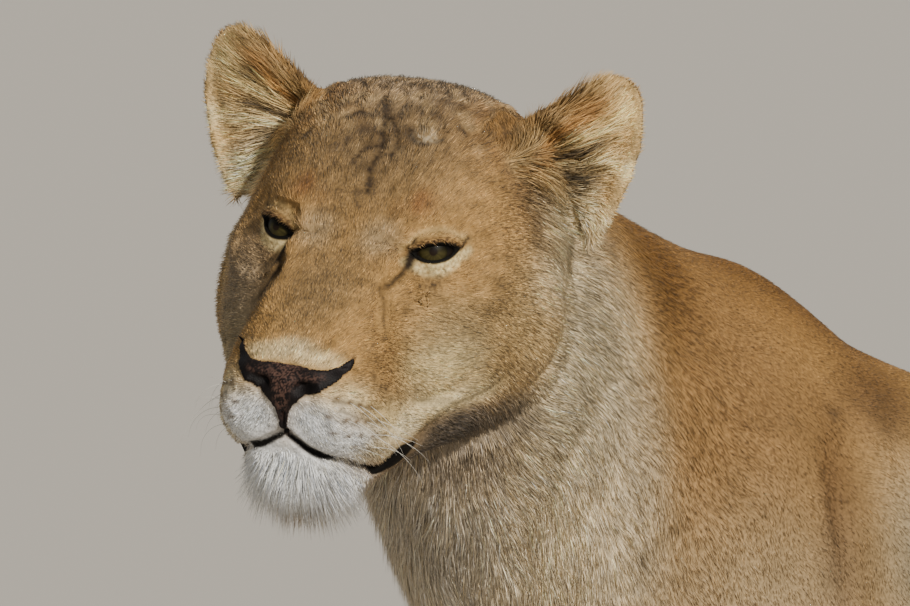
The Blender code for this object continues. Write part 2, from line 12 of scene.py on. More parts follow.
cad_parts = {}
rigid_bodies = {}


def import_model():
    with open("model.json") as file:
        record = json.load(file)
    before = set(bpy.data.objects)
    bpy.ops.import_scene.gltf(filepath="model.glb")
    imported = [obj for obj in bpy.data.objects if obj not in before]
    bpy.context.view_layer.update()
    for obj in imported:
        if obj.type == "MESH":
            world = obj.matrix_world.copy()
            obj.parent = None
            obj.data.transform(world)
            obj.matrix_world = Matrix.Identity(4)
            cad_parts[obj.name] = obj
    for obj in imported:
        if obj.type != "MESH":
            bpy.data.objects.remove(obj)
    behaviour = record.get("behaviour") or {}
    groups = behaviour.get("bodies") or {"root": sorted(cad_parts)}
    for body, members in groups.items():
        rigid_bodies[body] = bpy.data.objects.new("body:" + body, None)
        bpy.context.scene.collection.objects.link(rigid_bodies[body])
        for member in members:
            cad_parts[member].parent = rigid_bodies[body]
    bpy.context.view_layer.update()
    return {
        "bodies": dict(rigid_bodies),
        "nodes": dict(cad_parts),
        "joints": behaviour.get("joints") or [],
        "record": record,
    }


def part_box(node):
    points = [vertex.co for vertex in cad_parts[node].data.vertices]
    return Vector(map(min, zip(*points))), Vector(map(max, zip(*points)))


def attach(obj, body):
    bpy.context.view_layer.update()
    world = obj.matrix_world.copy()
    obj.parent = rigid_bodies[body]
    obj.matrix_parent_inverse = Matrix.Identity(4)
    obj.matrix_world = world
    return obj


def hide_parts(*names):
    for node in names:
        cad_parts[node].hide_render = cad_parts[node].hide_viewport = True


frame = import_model()

# ---- sizes, in metres and degrees, measured from the ground under the shoulder blades
TRUNK_HALF_WIDTH = 0.158
EYES_AT = Vector((0.090, -0.500, 1.080))  # midway between the eyes
HEAD_TURN, HEAD_NOD, HEAD_TILT = 28.6, 11.2, 6.8
EYE_PLACE = (0.048, 0.017, -0.0045)  # the left eyeball's centre in the head's frame
EYE_RADIUS = 0.0180
EAR_BASE = (0.080, 0.112, 0.012)
EAR_LENGTH, EAR_WIDTH, EAR_CUP, EAR_THICKNESS = 0.099, 0.100, 0.032, 0.009
EAR_CELLS = 20  # along and across an ear
EAR_WAYS = {1: (0.62, 0.20, 0.76), -1: (-0.69, 0.20, 0.69)}  # the left ear stands up a little more
ELBOW_HEIGHT, STIFLE_HEIGHT = 0.560, 0.620
TAIL_BASE = (0.0, 0.850, 0.790)
# how far each paw stands behind its place under the joint above
STEPS = {"fore_left": -0.030, "fore_right": 0.045, "hind_left": 0.060, "hind_right": -0.060}
SOLE_LEVEL = 0.004  # the soles are flat at this height above the paws' lowest curve
SIDES = ((1, "left"), (-1, "right"))

SKIN_CELL = 0.004
RELAX_ROUNDS = 110
BODY_TRIANGLES, HEAD_TRIANGLES = 52000, 84000  # of the skin, away from the eyes and the muzzle
TUFT_SHARE = 1.0  # of the coat's tufts that are made
MOST_FACES = 190000  # of one piece of the coat
SEED = 7

# Masses of flesh are modelled in centimetres, as their finest cell is 0.005 units.
METABALL_CELL = 0.005
CENTIMETRES = 100.0
THRESHOLD = 0.1

# The head's sections, in its own frame: the origin midway between the eyes, the nose towards -Y.
# Each has its place at the top, how much it leans back going down, and its half outline from the
# middle of the top to the middle of the underside: how far out and how high, in millimetres.
HEAD_SECTIONS = [
    (-120, 0.15, (0, 15, 27, 33, 36, 35, 26, 13, 0), (-58, -58, -60, -68, -80, -94, -110, -128, -134)),
    (-106, 0.13, (0, 21, 34, 41, 45, 46, 35, 20, 0), (-48, -48, -53, -64, -80, -98, -119, -142, -149)),
    (-86, 0.03, (0, 25, 41, 51, 57, 57, 44, 25, 0), (-35, -36, -43, -60, -82, -102, -126, -151, -159)),
    (-60, 0.00, (0, 28, 44, 54, 63, 65, 53, 28, 0), (-19, -20, -31, -56, -84, -107, -130, -151, -158)),
    (-36, 0.00, (0, 28, 41, 56, 70, 71, 58, 30, 0), (-5, -6, -18, -50, -84, -109, -131, -147, -152)),
    (-12, 0.00, (0, 32, 52, 69, 82, 82, 66, 34, 0), (12, 11, 4, -24, -62, -100, -128, -143, -147)),
    (14, 0.00, (0, 34, 58, 80, 94, 96, 78, 40, 0), (34, 33, 23, -8, -50, -92, -126, -142, -146)),
    (45, 0.00, (0, 38, 66, 87, 104, 107, 88, 46, 0), (57, 55, 40, 8, -40, -88, -126, -144, -148)),
    (80, 0.00, (0, 42, 72, 91, 111, 116, 98, 54, 0), (74, 71, 54, 18, -32, -84, -128, -148, -154)),
    (112, 0.00, (0, 44, 74, 93, 108, 112, 97, 56, 0), (77, 73, 54, 18, -30, -84, -132, -156, -165)),
    (145, 0.00, (0, 42, 72, 88, 98, 100, 90, 54, 0), (68, 62, 40, 6, -36, -86, -134, -164, -176)),
    (180, 0.00, (0, 38, 64, 78, 86, 86, 76, 48, 0), (45, 39, 18, -12, -48, -92, -136, -168, -182)),
    (215, 0.00, (0, 34, 54, 64, 68, 68, 60, 40, 0), (10, 6, -10, -34, -60, -96, -130, -156, -166)),
]
# Strokes that model the head: (across, along, height) of the place, the way the surface is pushed
# there, how far the push reaches and how deep it goes. All but the middle ones are made twice.
HEAD_STROKES = [
    ((60, -6, -3), (-0.42, 0.89, -0.14), (24, 26, 17), 6),  # socket of the eye
    ((52, -6, 24), (0.2, -0.7, 0.6), (22, 14, 10), 4),  # brow
    ((62, -26, -48), (-1, 0.3, 0), (20, 28, 26), 3),  # hollow under the eye
    ((88, 20, -22), (1, -0.3, 0), (22, 26, 13), 6),  # cheek bone
    ((96, 62, -72), (1, 0, 0), (22, 30, 26), 3),  # jaw muscle
    ((36, -104, -80), (0.6, -0.8, 0), (16, 20, 16), 6),  # whisker pad
    ((44, -60, -102), (0.9, 0, -0.4), (14, 34, 11), 4),  # upper lip
    ((0, -122, -114), (0, 1, 0.1), (42, 24, 11), 4),  # lower lip, set back
    ((40, -84, -122), (-1, 0.2, 0.2), (12, 30, 11), 4),  # under the upper lip
    ((0, -104, -134), (0, -1, -0.4), (20, 14, 12), 3),  # chin
    ((70, 70, 38), (-1, 0, 0.4), (14, 26, 16), 4),  # temple
    ((0, 20, 40), (0, 0.4, -1), (10, 34, 12), 2),  # furrow of the forehead
]

# Strokes that model the body, in metres; each is made on both sides
BODY_STROKES = [
    ((0.030, -0.096, 1.015), (0, -0.2, 1), (0.060, 0.044, 0.060), 0.0066),  # withers
    ((0.050, -0.010, 0.975), (0, 0, -1), (0.050, 0.034, 0.050), 0.0062),  # behind them
]


def head_matrix():
    turn = Matrix.Rotation(math.radians(HEAD_TURN), 4, "Z")
    nod = Matrix.Rotation(math.radians(HEAD_NOD), 4, "X")
    tilt = Matrix.Rotation(math.radians(HEAD_TILT), 4, "Y")
    return Matrix.Translation(EYES_AT) @ turn @ nod @ tilt


HEAD = head_matrix()
HEAD_MIDDLE = (0, 20, -40)  # in its own frame, in millimetres
HEAD_TURNED = np.array(HEAD.to_3x3())
EYE_MIDDLE, EYE_SIZE = np.array(EYE_PLACE) * 1000.0, EYE_RADIUS * 1000.0


def to_head(points):
    """Points in the head's own frame, in millimetres."""
    return (points - np.array(EYES_AT)) @ HEAD_TURNED * 1000.0


def from_head(local):
    return local / 1000.0 @ HEAD_TURNED.T + np.array(EYES_AT)


# ---- shares, from 0 to 1
def smooth_step(value, low, high):
    """Rises from 0 at low to 1 at high."""
    t = np.clip((value - low) / (high - low), 0, 1)
    return t * t * (3 - 2 * t)


def fall(value, low, high):
    """Falls from 1 at low to 0 at high."""
    return 1 - smooth_step(value, low, high)


def bell(away, reach):
    """1 in the middle, fading out past the reach."""
    return np.exp(-((away / reach) ** 2))


# ---- masses of flesh
def surface_share(firm):
    """Where a mass of this firmness has its surface, as a share of its field's reach."""
    return math.sqrt(1.0 - (THRESHOLD / firm) ** (1.0 / 3.0))


class Flesh:
    """Ellipsoid masses that melt into one surface."""

    def __init__(self, name):
        self.data = bpy.data.metaballs.new(name)
        self.data.threshold = THRESHOLD

    def mass(self, at, size, pitch=0.0, roll=0.0, yaw=0.0, firm=4.0, frame=None):
        """One mass of these half sizes. Pitch lifts its front, roll leans its top to the right."""
        if frame is None:
            frame = (
                Matrix.Rotation(math.radians(yaw), 3, "Z")
                @ Matrix.Rotation(math.radians(-pitch), 3, "X")
                @ Matrix.Rotation(math.radians(-roll), 3, "Y")
            )
        most = max(size)
        element = self.data.elements.new(type="ELLIPSOID")
        element.co = Vector(at) * CENTIMETRES
        element.rotation = frame.to_quaternion()
        element.radius = most / surface_share(firm) * CENTIMETRES
        element.size_x, element.size_y, element.size_z = (s / most for s in size)
        element.stiffness = firm

    def limb(self, points, widths, depths, firm=4.0):
        """Overlapping masses along a smooth line, with half widths and half depths at its points."""
        sizes = [(*point, width, depth) for point, width, depth in zip(points, widths, depths)]
        thick = sum(widths + depths) / len(widths) / 2
        length = sum((Vector(b) - Vector(a)).length for a, b in zip(points, points[1:]))
        line = curve_through(sizes, max(2, round(length / (0.4 * thick * (len(points) - 1)))))
        for i, (x, y, z, width, depth) in enumerate(line):
            before, after = line[max(i - 1, 0)], line[min(i + 1, len(line) - 1)]
            along = Vector(after[:3] - before[:3]).normalized()
            across = (Vector((1, 0, 0)) - along.x * along).normalized()
            frame = Matrix((across, along, across.cross(along))).transposed()
            self.mass((x, y, z), (width, (width + depth) / 2, depth), frame=frame, firm=firm)

    def mesh(self):
        """The surface as a mesh in metres."""
        self.data.resolution = self.data.render_resolution = METABALL_CELL * CENTIMETRES
        holder = bpy.data.objects.new(self.data.name, self.data)
        bpy.context.scene.collection.objects.link(holder)
        graph = bpy.context.evaluated_depsgraph_get()
        mesh = bpy.data.meshes.new_from_object(holder.evaluated_get(graph))
        bpy.data.objects.remove(holder)
        bpy.data.metaballs.remove(self.data)
        mesh.transform(Matrix.Scale(1.0 / CENTIMETRES, 4))
        return mesh


def spline(a, b, c, d, t):
    """A point between b and c on a smooth curve through the four."""
    return 0.5 * (2 * b + (c - a) * t + (2 * a - 5 * b + 4 * c - d) * t**2 + (3 * b - a - 3 * c + d) * t**3)


def curve_through(rows, per_span, closed=False):
    """Rows along a smooth curve through the given rows."""
    rows = np.asarray(rows, dtype=float)
    if closed:
        ends = np.concatenate([rows[-1:], rows, rows[:2]])
    else:
        ends = np.concatenate([2 * rows[:1] - rows[1:2], rows, 2 * rows[-1:] - rows[-2:-1]])
    found = [spline(*ends[i : i + 4], k / per_span) for i in range(len(ends) - 3) for k in range(per_span)]
    if not closed:
        found.append(rows[-1])
    return np.array(found)


# ---- the trunk, neck and tail
# Masses of the trunk and of each side: middle, half sizes, pitch and how far they lean inwards
TRUNK_MASSES = [
    ((0, 0.120, 0.700), (TRUNK_HALF_WIDTH, 0.290, 0.200), -3, 0),  # rib cage
    ((0, -0.095, 0.700), (0.125, 0.150, 0.175), -14, 0),  # breast
    ((0, 0.400, 0.690), (0.140, 0.290, 0.165), 3, 0),  # belly
    ((0, 0.470, 0.780), (0.112, 0.300, 0.120), 0, 0),  # loins
    ((0, 0.690, 0.760), (0.128, 0.180, 0.135), 10, 0),  # croup
    ((0, 0.480, 0.590), (0.085, 0.200, 0.060), 6, 0),  # loose skin of the belly
]
SHOULDER_MASSES = [
    ((0.096, -0.035, 0.790), (0.044, 0.085, 0.185), 20, 10),  # blade
    ((0.058, 0.010, 0.912), (0.034, 0.070, 0.045), 8, 0),  # blade's top
    ((0.112, -0.130, 0.655), (0.056, 0.070, 0.100), 10, 0),  # point of the shoulder
    ((0.116, 0.030, 0.635), (0.052, 0.105, 0.120), 20, 0),  # triceps
    ((0.118, -0.060, 0.595), (0.056, 0.085, 0.110), -20, 0),  # upper arm
]
HIP_MASSES = [
    ((0.090, 0.670, 0.680), (0.068, 0.180, 0.185), -14, 0),  # thigh
    ((0.072, 0.780, 0.680), (0.060, 0.095, 0.160), 10, 0),  # buttock
    ((0.108, 0.570, 0.560), (0.056, 0.110, 0.130), -24, 0),  # front of the thigh
    ((0.080, 0.460, 0.620), (0.044, 0.130, 0.080), -12, 0),  # flank fold
]


def add_masses(flesh, masses, side=1):
    for (x, y, z), size, pitch, lean in masses:
        flesh.mass((side * x, y, z), size, pitch=pitch, roll=side * lean)


def add_spine(flesh):
    spine = [(0, -0.090, 0.890), (0, 0.080, 0.885), (0, 0.300, 0.868), (0, 0.520, 0.880)]
    spine += [(0, 0.690, 0.866), (0, 0.815, 0.812)]
    flesh.limb(spine, (0.075, 0.070, 0.062, 0.062, 0.060, 0.045), (0.052, 0.046, 0.042, 0.040, 0.040, 0.036))


def add_neck(flesh):
    crest = [(0, 0.000, 0.795), (0, -0.120, 0.863), (0.006, -0.230, 0.930), (0.022, -0.330, 1.000)]
    flesh.limb(crest, (0.124, 0.116, 0.106, 0.098), (0.158, 0.158, 0.140, 0.118))
    throat = [(0, -0.150, 0.720), (0.004, -0.236, 0.800), (0.020, -0.313, 0.890), (0.045, -0.365, 0.960)]
    flesh.limb(throat, (0.100, 0.092, 0.084, 0.080), (0.120, 0.100, 0.088, 0.076))


def tail_line():
    x, y, z = TAIL_BASE
    bends = [(0, -0.060, 0.030), (0, 0.010, -0.010), (0.004, 0.070, -0.130), (0.012, 0.085, -0.290)]
    bends += [(0.016, 0.075, -0.440), (0.010, 0.090, -0.560), (0.002, 0.118, -0.640)]
    bends += [(-0.003, 0.138, -0.690), (-0.006, 0.152, -0.738)]
    return [(x + bend[0], y + bend[1], z + bend[2]) for bend in bends]


def add_tail(flesh):
    thick = (0.044, 0.036, 0.026, 0.021, 0.018, 0.016, 0.018, 0.020, 0.008)
    flesh.limb(tail_line(), thick, thick, firm=8)


# ---- the legs
def add_foreleg(flesh, side, step):
    def at(x, y, z):
        return (side * x, y + step * max(0.0, 1 - z / ELBOW_HEIGHT), z)

    line = [at(0.116, 0.000, 0.570), at(0.114, 0.012, 0.490), at(0.109, 0.002, 0.380)]
    line += [at(0.105, -0.004, 0.260), at(0.104, -0.006, 0.190), at(0.105, -0.014, 0.120)]
    line.append(at(0.106, -0.034, 0.065))
    widths = (0.060, 0.056, 0.050, 0.040, 0.042, 0.041, 0.046)
    flesh.limb(line, widths, (0.088, 0.076, 0.060, 0.044, 0.045, 0.040, 0.040))
    flesh.mass(at(0.108, 0.072, 0.520), (0.030, 0.034, 0.042), pitch=-10)  # point of the elbow
    flesh.mass(at(0.104, 0.036, 0.170), (0.018, 0.016, 0.022))  # wrist pad
    flesh.mass(at(0.070, -0.014, 0.105), (0.014, 0.020, 0.026))  # dew claw
    add_paw(flesh, at(0.107, -0.072, 0.0), 0.056, 0.064)


def toe_places(at, half_width, half_length):
    """Where each toe's middle is, and how far across the paw."""
    x, y, _ = at
    spread = ((-0.74, 0.012), (-0.27, -0.006), (0.27, -0.006), (0.74, 0.012))
    return [(x + across * half_width, y - half_length * 0.66 + back, across) for across, back in spread]


def add_paw(flesh, at, half_width, half_length):
    x, y, _ = at
    flesh.mass((x, y + 0.014, 0.042), (half_width * 0.94, half_length, 0.042), pitch=-12)
    for toe_x, toe_y, across in toe_places(at, half_width, half_length):
        flesh.mass((toe_x, toe_y, 0.028), (0.0170, 0.036, 0.0275), pitch=-8, yaw=-across * 14, firm=8)
        flesh.mass((toe_x, toe_y + 0.012, 0.044), (0.0160, 0.024, 0.0190), firm=8)  # knuckle


def add_hindleg(flesh, side, step):
    def at(x, y, z):
        return (side * x, y + step * max(0.0, 1 - z / STIFLE_HEIGHT), z)

    thigh = [at(0.108, 0.630, 0.580), at(0.114, 0.610, 0.500), at(0.112, 0.660, 0.410)]
    thigh += [at(0.108, 0.735, 0.325), at(0.106, 0.778, 0.262)]
    flesh.limb(thigh, (0.062, 0.058, 0.048, 0.034, 0.030), (0.135, 0.108, 0.074, 0.050, 0.042))
    flesh.mass(at(0.113, 0.525, 0.500), (0.046, 0.050, 0.060))  # knee
    flesh.mass(at(0.107, 0.806, 0.296), (0.024, 0.028, 0.044), pitch=-20)  # point of the hock
    shank = [at(0.106, 0.780, 0.270), at(0.106, 0.768, 0.190), at(0.107, 0.752, 0.110)]
    shank.append(at(0.108, 0.730, 0.060))
    flesh.limb(shank, (0.034, 0.032, 0.034, 0.040), (0.040, 0.034, 0.034, 0.036))
    add_paw(flesh, at(0.108, 0.700, 0.0), 0.050, 0.060)


# ---- meshes
def opened(*meshes):
    """The meshes together, open for work."""
    bm = bmesh.new()
    for mesh in meshes:
        bm.from_mesh(mesh)
    return bm


def shut(bm, mesh):
    """Puts finished work into a mesh, or into a new one of the given name."""
    if isinstance(mesh, str):
        mesh = bpy.data.meshes.new(mesh)
    bm.to_mesh(mesh)
    bm.free()
    return mesh


def points_of(mesh):
    points = np.empty(len(mesh.vertices) * 3)
    mesh.vertices.foreach_get("co", points)
    return points.reshape(-1, 3)


def normals_of(mesh):
    normals = np.empty(len(mesh.vertices) * 3, dtype=np.float32)
    mesh.vertex_normals.foreach_get("vector", normals)
    return normals.reshape(-1, 3).astype(float)


def set_points(mesh, points):
    mesh.vertices.foreach_set("co", points.ravel())
    mesh.update()


def applied(thing):
    """The object's mesh with its modifiers made."""
    graph = bpy.context.evaluated_depsgraph_get()
    mesh = bpy.data.meshes.new_from_object(thing.evaluated_get(graph))
    thing.modifiers.clear()
    thing.data = mesh
    return mesh


# ---- the head
def grid_mesh(name, rows, closed):
    """A surface through rows of points; closed rows run all the way round."""
    bm = bmesh.new()
    lines = [[bm.verts.new(point) for point in row] for row in rows]
    for a, b in zip(lines, lines[1:]):
        for k in range(0 if closed else 1, len(a)):
            bm.faces.new((a[k - 1], a[k], b[k], b[k - 1]))
    if closed:
        for line in (lines[0], lines[-1]):
            centre = bm.verts.new(sum((v.co for v in line), Vector()) / len(line))
            for k in range(len(line)):
                bm.faces.new((line[k - 1], line[k], centre))
    bmesh.ops.recalc_face_normals(bm, faces=bm.faces)
    if not closed:
        bmesh.ops.solidify(bm, geom=bm.faces, thickness=EAR_THICKNESS)
    mesh = shut(bm, name)
    mesh.transform(HEAD)
    return mesh


def loft_head():
    """The head as a loft through its sections."""
    rings = []
    for place, lean, across, heights in HEAD_SECTIONS:
        half = [(x, place + lean * (heights[0] - z), z) for x, z in zip(across, heights)]
        ring = half + [(-x, y, z) for x, y, z in half[-2:0:-1]]
        rings.append(curve_through(np.array(ring) / 1000.0, 4, closed=True))
    return grid_mesh("head", curve_through(rings, 4), closed=True)


def ear_frame(side):
    """The ear's base, the ways along and across it, and the way it opens, in the head's frame."""
    along = Vector(EAR_WAYS[side]).normalized()
    opening = Vector((side * 0.22, -0.95, 0.16))
    opening = (opening - opening.dot(along) * along).normalized()
    x, y, z = EAR_BASE
    return Vector((side * x, y, z)), along, along.cross(opening) * side, opening


def cup_ear(side):
    """A cupped ear with a round rim, standing out sideways and opening forwards."""
    base, along, across, opening = ear_frame(side)
    rows = []
    for i in range(EAR_CELLS + 1):
        v = i / EAR_CELLS
        inner = -(0.42 - 0.30 * v) * math.sqrt(1 - v**10) - 0.05 * v
        outer = (0.51 - 0.10 * v) * math.sqrt(1 - v**2.2) - 0.05 * v
        row = []
        for k in range(EAR_CELLS + 1):
            u = 2 * k / EAR_CELLS - 1
            place = EAR_WIDTH * ((inner + outer) / 2 + u * (outer - inner) / 2)
            cup = EAR_CUP * (0.75 * u * u + 0.25 * u) * (1 - 0.75 * v * v) - 0.012 * (1 - v)
            row.append(base + along * (EAR_LENGTH * v) + across * place + opening * cup)
        rows.append(row)
    return grid_mesh("ear", rows, closed=False)


# ---- one skin round all of it
def softness(points):
    """How much each place is relaxed: the trunk most, the head, the paws and the tail least."""
    away = np.linalg.norm(points - np.array(EYES_AT), axis=1)
    head = np.interp(away, (0.20, 0.28), (0.03, 1.0))
    leg = np.interp(points[:, 2], (0.03, 0.12, 0.42, 0.66), (0.03, 0.10, 0.16, 1.0))
    tail = np.interp(points[:, 1], (0.87, 0.90), (1.0, 0.03))
    return 0.5 * np.minimum(np.minimum(head, leg), tail)


def relax(mesh, rounds, share=None):
    """Slides each point towards the middle of its neighbours, so that creases soften."""
    points = points_of(mesh)
    count = len(points)
    ends = np.empty(len(mesh.edges) * 2, dtype=np.int64)
    mesh.edges.foreach_get("vertices", ends)
    one, two = ends.reshape(-1, 2).T
    neighbours = np.bincount(one, minlength=count) + np.bincount(two, minlength=count)
    if share is None:
        share = softness(points)
    for _ in range(rounds):
        for axis in range(3):
            value = points[:, axis]
            total = np.bincount(one, value[two], count) + np.bincount(two, value[one], count)
            points[:, axis] = value + (total / neighbours - value) * share
    set_points(mesh, points)


def pushed(places, strokes):
    """The places, moved by the strokes that reach them, on both sides."""
    for place, way, reach, depth in strokes:
        for side in (1, -1) if place[0] else (1,):
            mirror = np.array((side, 1, 1))
            away = (places - np.array(place) * mirror) / np.array(reach)
            share = np.exp(-(away**2).sum(axis=1))[:, None]
            places = places + share * (np.array(way) * mirror / np.linalg.norm(way)) * depth
    return places


def make_strokes(mesh, strokes):
    """Makes strokes that are given in the head's frame."""
    set_points(mesh, from_head(pushed(to_head(points_of(mesh)), strokes)))


def whole_skin():
    """One closed surface round the body, the head and the ears."""
    flesh = Flesh("flesh")
    add_masses(flesh, TRUNK_MASSES)
    add_spine(flesh)
    add_neck(flesh)
    add_tail(flesh)
    for side, name in SIDES:
        add_masses(flesh, SHOULDER_MASSES, side)
        add_foreleg(flesh, side, STEPS["fore_" + name])
        add_masses(flesh, HIP_MASSES, side)
        add_hindleg(flesh, side, STEPS["hind_" + name])
    bm = opened(flesh.mesh(), loft_head(), cup_ear(1), cup_ear(-1))
    skin = bpy.data.objects.new("skin", shut(bm, "skin"))
    bpy.context.scene.collection.objects.link(skin)
    remesh = skin.modifiers.new("one surface", "REMESH")
    remesh.mode = "VOXEL"
    remesh.voxel_size = SKIN_CELL
    relax(applied(skin), RELAX_ROUNDS)
    set_points(skin.data, pushed(points_of(skin.data), BODY_STROKES))
    make_strokes(skin.data, HEAD_STROKES)
    return skin


# ---- the eyes' lids
LID_AXIS = np.array((0.418, -0.897, 0.139))  # the way the left eye's opening faces, in the head's frame
LID_SLANT = math.radians(7)  # how far the outer corner stands above the inner
LID_MIDDLE = (0.9, 2.2)  # of the eye's opening, in millimetres towards the outer corner and up
# Half the width of the opening, and how far it reaches up and down from the line of its corners
OPENING, DARK_RIM = (13.4, 4.0, 5.5), (16.6, 6.8, 7.7)
EYE_REACH = 46  # millimetres round the eyeball's middle that belong to the eye


def eye_map(local, side, flat=False):
    """Places round an eye in millimetres: across towards the outer corner, up, out from its middle.

    Measured round the eyeball, or as seen from straight ahead when flat.
    """
    axis = LID_AXIS / np.linalg.norm(LID_AXIS)
    level = np.cross((0, 0, 1), axis)
    level /= np.linalg.norm(level)
    level *= np.sign(level[0])
    upright = np.cross(axis, level)
    upright *= np.sign(upright[2])
    across = level * math.cos(LID_SLANT) + upright * math.sin(LID_SLANT)
    up = upright * math.cos(LID_SLANT) - level * math.sin(LID_SLANT)
    away = local * (side, 1, 1) - EYE_MIDDLE
    out = np.linalg.norm(away, axis=1)
    ahead = away @ axis
    if flat:
        return away @ across, away @ up, out, ahead > 0
    x = EYE_SIZE * np.arctan2(away @ across, np.maximum(ahead, 1e-6))
    y = EYE_SIZE * np.arcsin(np.clip(away @ up / np.maximum(out, 1e-6), -1, 1))
    return x, y, out, ahead > 0


def before_eye(local, side):
    """Places before an eye as seen from straight ahead: across, up, out, and which belong to it."""
    x, y, out, ahead = eye_map(local, side, flat=True)
    return x, y, out, ahead & (out < EYE_REACH)


def lid_distance(x, y, almond=OPENING):
    """How far a place is outside an almond round the eye; less than nothing is inside it."""
    wide, top, bottom = almond
    x, y = x - LID_MIDDLE[0], y - LID_MIDDLE[1]
    t = np.clip(x / wide, -1, 1)
    arch = (1 - t * t) ** 0.72
    middle, half = (top - bottom) / 2 * arch, (top + bottom) / 2 * arch
    beyond = np.abs(x) - wide
    return np.where(beyond > 0, np.hypot(np.maximum(beyond, 0), y - middle), np.abs(y - middle) - half)


def make_lids(mesh):
    """Lays the skin round each eyeball: open over the almond, thick at its rim, creased above."""
    local = to_head(points_of(mesh))
    for side in (1, -1):
        x, y, out, ahead = eye_map(local, side)
        gap = lid_distance(x, y)
        near = ahead & (out < EYE_REACH)
        height = np.interp(gap, (-2.2, -0.6, 0.2, 1.4, 3.6, 6.0), (-4.0, -1.2, 0.6, 1.5, 2.4, 2.4))
        upper = smooth_step(y, -1, 3)
        height += upper * np.interp(gap, (-1, 0.5, 3, 7), (0, 2.0, 3.4, 2.6))
        crease = 1.6 * bell(gap - 8.0, 2.2) * upper
        blend = fall(gap, 3.0, 17 - 7 * smooth_step(-x, 6, 16))
        wanted = EYE_SIZE + height - crease
        new = np.where(near, out + (wanted - out) * blend, out)
        start = EYE_MIDDLE * (side, 1, 1)
        local = start + (local - start) * (new / np.maximum(out, 1e-6))[:, None]
    set_points(mesh, from_head(local))


def folded_over(local):
    """Places of the head with the right side laid over the left."""
    return np.column_stack((np.abs(local[:, 0]), local[:, 1:]))


def folded_with(local, ways):
    """The ways that belong to the places, laid over with them."""
    return ways * np.column_stack((np.sign(local[:, 0]), np.ones((len(local), 2))))


def from_middle(local):
    """How far places are from the middle of the head."""
    return np.linalg.norm(local - HEAD_MIDDLE, axis=1)


# ---- the mouth, the nose and the folds of the face
# Each line runs over the skin through these (across, along, height) places, in millimetres.
LIP_LINE = [
    (0, -114, -97), (8, -113, -102), (15, -111, -107), (24, -108, -111), (33, -97, -118), (41, -84, -124),
    (47, -72, -129), (53, -65, -127), (59, -60, -121), (63, -55, -115),
]
PHILTRUM = [(0, -119, -82), (0, -118, -88), (0, -116, -93), (0, -114, -98)]
# Folds: their line, how wide and how deep they are, on the left and on the right. Ridges have a
# depth less than nothing.
FACE_FOLDS = [
    ([(58, -66, -84), (68, -42, -88), (77, -25, -87), (86, -9, -82), (93, 4, -76)], 4.5, 2.4, 2.4),  # cheek
    ([(43, -12, 1), (42, -20, -4), (40, -29, -10), (37, -39, -15), (38, -51, -22), (43, -64, -34),
      (47, -74, -48)], 5.0, 2.6, 6.0),  # side of the bridge
    ([(29, -30, -6), (30, -45, -13), (32, -60, -23), (36, -74, -32)], 6.0, 0.0, -2.6),  # edge of the bridge
    ([(33, -4, 16), (34, -13, 7), (34, -22, -1), (33, -32, -8)], 5.0, -2.6, -4.0),  # beside the bridge
    ([(74, 4, -14), (64, -12, -22), (54, -22, -25), (44, -30, -20)], 4.5, 1.6, 1.6),  # under the eye
    ([(80, 14, 15), (68, -1, 19), (54, -11, 18), (40, -16, 12)], 5.0, 2.2, 2.2),  # above the upper lid
    ([(64, -52, -113), (74, -32, -106), (84, -10, -100), (95, 16, -96)], 8.0, 3.5, 3.5),  # mouth's corner
    ([(60, -62, -106), (72, -34, -100), (86, -6, -92)], 7.0, -2.4, -2.4),  # edge of the lip and the jaw
    ([(22, -10, 14), (18, 6, 26), (13, 26, 41)], 7.0, 2.0, 2.0),  # brow's inner crease
    ([(106, 60, -14), (114, 72, -42), (110, 58, -78), (98, 22, -98)], 12.0, -4.5, -4.5),  # ruff
    ([(116, 116, -30), (120, 108, -56), (114, 80, -84), (102, 44, -104)], 9.0, 3.4, 3.4),  # behind the ruff
]
# Soft folds of the neck's and the shoulder's skin, in metres from the ground under the shoulder
BODY_FOLDS = [
    ([(0.122, -0.285, 1.000), (0.119, -0.324, 0.946), (0.118, -0.352, 0.912)], 0.010, 0.002),
    ([(0.122, -0.262, 0.930), (0.115, -0.315, 0.880), (0.100, -0.370, 0.845)], 0.012, 0.0015),
    ([(0.094, -0.108, 0.925), (0.100, -0.095, 0.887), (0.105, -0.088, 0.853), (0.111, -0.085, 0.813),
      (0.118, -0.084, 0.760), (0.122, -0.088, 0.690)], 0.012, 0.012),
    ([(0.100, -0.050, 0.955), (0.118, -0.060, 0.910), (0.128, -0.060, 0.850), (0.13, -0.06, 0.78)],
     0.020, -0.007),
    ([(0.060, -0.390, 0.900), (0.052, -0.360, 0.850), (0.045, -0.318, 0.790)], 0.014, 0.003),
    ([(0.085, -0.240, 1.030), (0.110, -0.235, 0.960), (0.118, -0.230, 0.880), (0.115, -0.235, 0.80)],
     0.022, 0.004),
]
# Strokes that sink the nostrils and swell the wings round them
NOSTRILS = [
    ((15, -114, -63), (-0.45, 1.0, 0.25), (6.5, 9, 4.6), 9),
    ((24, -108, -60), (-0.6, 1.0, 0.2), (8, 10, 3.4), 7),
    ((33, -99, -53), (-0.9, 0.8, 0.1), (6, 9, 2.8), 4.5),
    ((7, -121, -68), (0.3, -1.0, 0.0), (7, 7, 7), 2.0),
    ((17, -112, -51), (0.1, -0.7, 1.0), (13, 10, 3.5), 2.0),
    ((28, -104, -68), (0.6, -0.8, -0.4), (9, 9, 3), 2.4),
]
